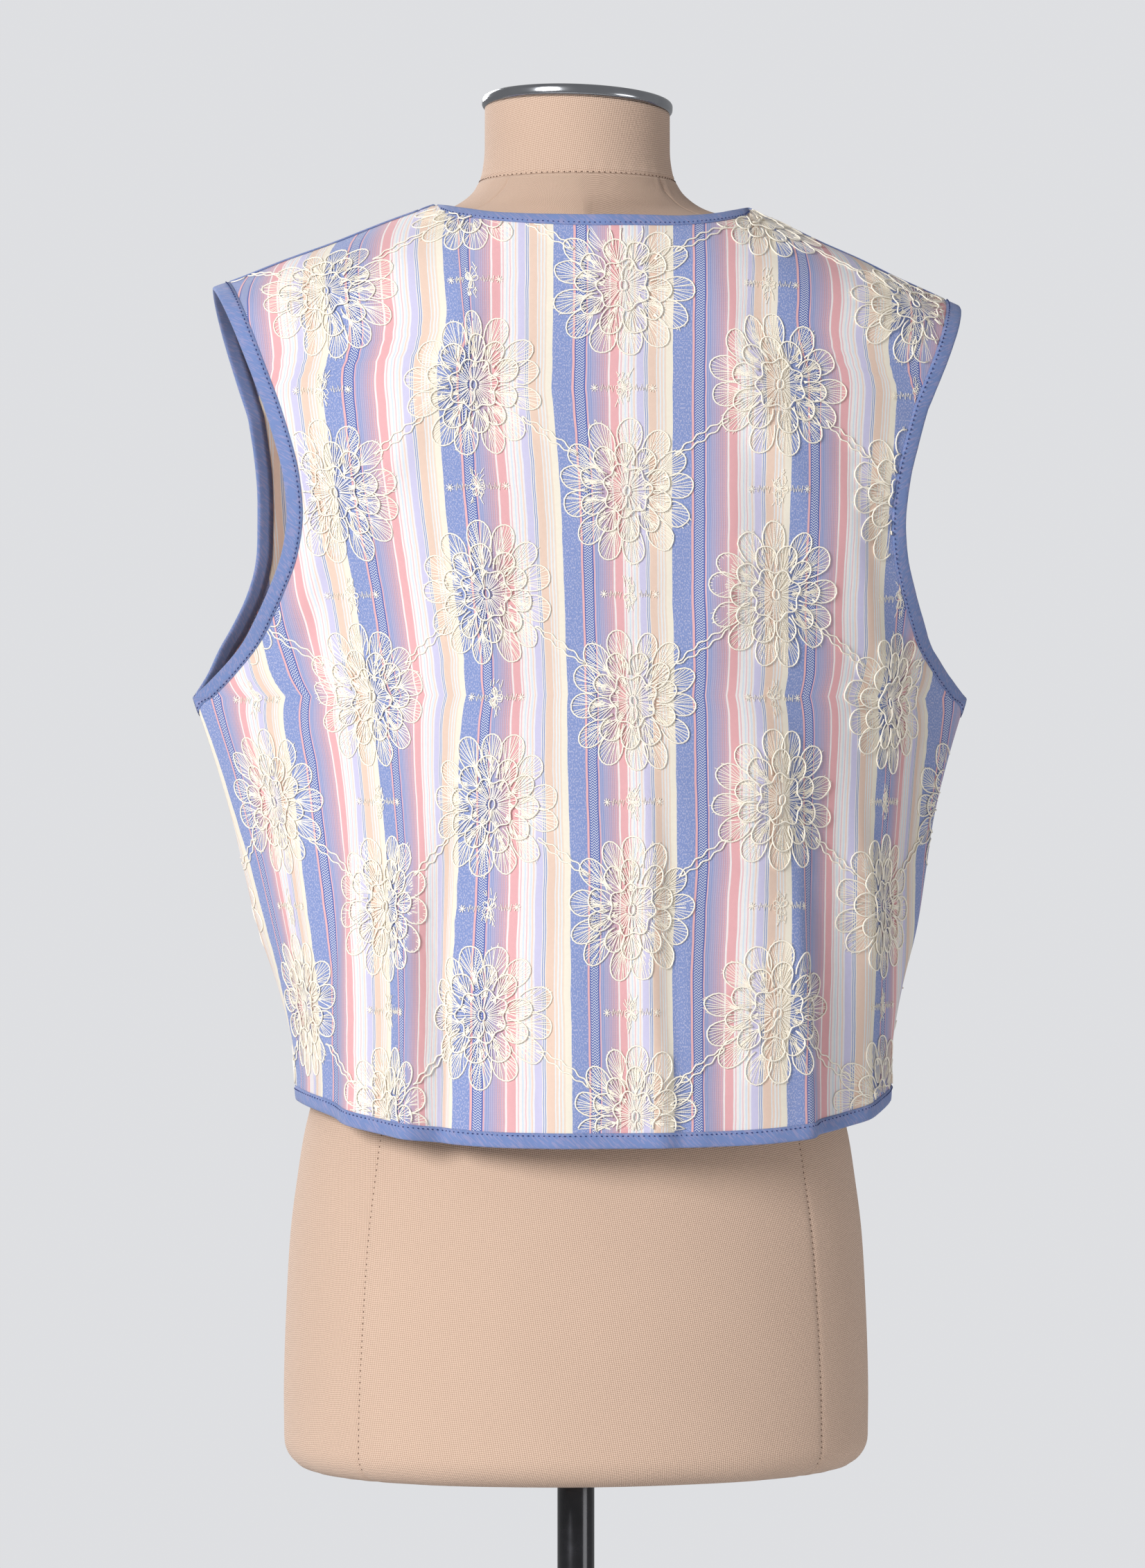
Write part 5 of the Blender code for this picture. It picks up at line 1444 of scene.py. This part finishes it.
# The neck: canvas gathered into a seam at its foot and stretched over a short drum that leans a little, up
# to the rim of the plate that closes it.
NECK_ROWS = np.array([(0.0, 58.3), (3.0, 57.2), (6.0, 56.3), (16.0, 54.9), (28.0, 54.75), (42.0, 54.7)])
NECK_Y = 8.0
NECK_TILT_SIDE = math.radians(2.4)
NECK_TILT_FORWARD = math.radians(2.7)
NECK_FOOT = 758.3
NECK_POINTS = 160
NECK_STEPS = 6
NECK_STITCH_RADIUS = 0.38
NECK_GATHER = 0.12

neck_rings = []
neck_turns = 2 * math.pi * np.arange(NECK_POINTS) / NECK_POINTS
for place in np.linspace(0.0, len(NECK_ROWS) - 1.0, (len(NECK_ROWS) - 1) * NECK_STEPS + 1):
    height, radius = through(NECK_ROWS, np.array([place]))[0]
    share = min(max(height / NECK_ROWS[-1, 0], 0.0), 1.0)
    tuck = 0.7 * math.exp(-((height - 1.0) / 0.9) ** 2)
    gathers = NECK_GATHER * np.sin(neck_turns * 37.0) * math.exp(-((height - 4.0) / 4.0) ** 2)
    x = (radius - tuck + gathers) * np.cos(neck_turns)
    y = (radius - tuck + gathers) * np.sin(neck_turns)
    lift = share * (x * math.tan(NECK_TILT_SIDE) + y * math.tan(NECK_TILT_FORWARD))
    neck_rings.append(np.stack([x, NECK_Y + y, NECK_FOOT + height + lift], axis=-1))
neck_rings = np.array(neck_rings)
form_neck = lofted("canvas_neck", neck_rings, wrapped_layout(neck_rings))
form_neck.data.materials.append(linen_canvas)
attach(form_neck, "root")
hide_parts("form_neck")

neck_seam = neck_rings[1]
neck_seam = np.concatenate([neck_seam, neck_seam[:1]])
neck_seam_out = level_ways(neck_seam, NECK_Y)
neck_stitches = stitch_row(
    "canvas_neck_stitches", neck_seam + neck_seam_out * 0.3, neck_seam_out, FORM_STITCH_PITCH,
    FORM_STITCH_LENGTH, NECK_STITCH_RADIUS, brown_thread,
)
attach(neck_stitches, "root")

# The neck plate: a pressed steel disc with a rolled rim, plated with chrome, that closes the neck and leans
# with it.
PLATE_RADIUS = 56.4 * MM
PLATE_THICKNESS = 7.0 * MM
PLATE_ROLL = 2.6 * MM
PLATE_DISH = 1.2 * MM
PLATE_FOOT = 42.3


def pick_faces(thing, wanted):
    """Selects in edit mode the faces that a test of centre and normal wants."""
    bpy.ops.object.mode_set(mode="OBJECT")
    for group in (thing.data.vertices, thing.data.edges, thing.data.polygons):
        group.foreach_set("select", np.zeros(len(group), dtype=bool))
    for face in thing.data.polygons:
        face.select = wanted(face.center, face.normal)
    bpy.ops.object.mode_set(mode="EDIT")


deselect_all()
plate_height = (FORM_FOOT + NECK_FOOT + PLATE_FOOT) * MM + PLATE_THICKNESS / 2
bpy.ops.mesh.primitive_cylinder_add(
    vertices=160,
    radius=PLATE_RADIUS,
    depth=PLATE_THICKNESS,
    location=(0.0, NECK_Y * MM, plate_height),
    rotation=(NECK_TILT_FORWARD, -NECK_TILT_SIDE, 0.0),
)
neck_plate = bpy.context.object
neck_plate.name = "chrome_neck_plate"
bpy.ops.object.mode_set(mode="EDIT")
bpy.ops.mesh.select_mode(type="FACE")
pick_faces(neck_plate, lambda centre, normal: abs(normal.z) > 0.9)
bpy.ops.mesh.bevel(offset=PLATE_ROLL, segments=6, affect="EDGES")
pick_faces(neck_plate, lambda centre, normal: normal.z > 0.999 and centre.z > 0)
bpy.ops.mesh.inset(thickness=2.0 * MM)
bpy.ops.mesh.inset(thickness=1.0 * MM, depth=-PLATE_DISH)
bpy.ops.object.mode_set(mode="OBJECT")
bpy.ops.object.transform_apply(location=True, rotation=True, scale=True)
bpy.ops.object.shade_smooth_by_angle(angle=math.radians(50))
chrome_plate = mottled_material(
    "chrome_plate", 0.16, 60.0, "96989D", "B4B6BA", wear=(0.12, 0.12), Metallic=1.0,
)
neck_plate.data.materials.append(chrome_plate)
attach(neck_plate, "root")
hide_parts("neck_plate")

# The stand: a steel tube that slides up into the body, and a round steel foot, both with a glossy black
# finish.
POLE_RADIUS = 11.0 * MM
POLE_SOCKET_DEPTH = 80.0
BASE_RADIUS = 170.0 * MM
BASE_THICKNESS = 18.0 * MM
BASE_EDGE = 5.0 * MM

black_metal = mottled_material(
    "black_metal", 0.25, 140.0, "1E1E20", "333338", detail=3.0, wear=(0.15, 0.18),
    Metallic=0.7, Coat_Weight=0.5, Coat_Roughness=0.1,
)

pole_foot = BASE_THICKNESS + 0.3 * MM
pole_top = (FORM_FOOT + POLE_SOCKET_DEPTH - 0.3) * MM
for name, node, radius, low, high, edge, segments in (
    ("steel_pole", "stand_pole", POLE_RADIUS, pole_foot, pole_top, 0.8 * MM, 2),
    ("steel_foot", "stand_base", BASE_RADIUS, 0.0, BASE_THICKNESS, BASE_EDGE, 5),
):
    deselect_all()
    middle = (0.0, 0.0, (low + high) / 2)
    bpy.ops.mesh.primitive_cylinder_add(vertices=96, radius=radius, depth=high - low, location=middle)
    turned = bpy.context.object
    turned.name = name
    bpy.ops.object.mode_set(mode="EDIT")
    bpy.ops.mesh.select_mode(type="FACE")
    pick_faces(turned, lambda centre, normal: normal.z > 0.9)
    bpy.ops.mesh.bevel(offset=edge, segments=segments, affect="EDGES")
    bpy.ops.object.mode_set(mode="OBJECT")
    bpy.ops.object.transform_apply(location=True, rotation=True, scale=True)
    bpy.ops.object.shade_smooth_by_angle(angle=math.radians(40))
    turned.data.materials.append(black_metal)
    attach(turned, "root")
    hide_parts(node)
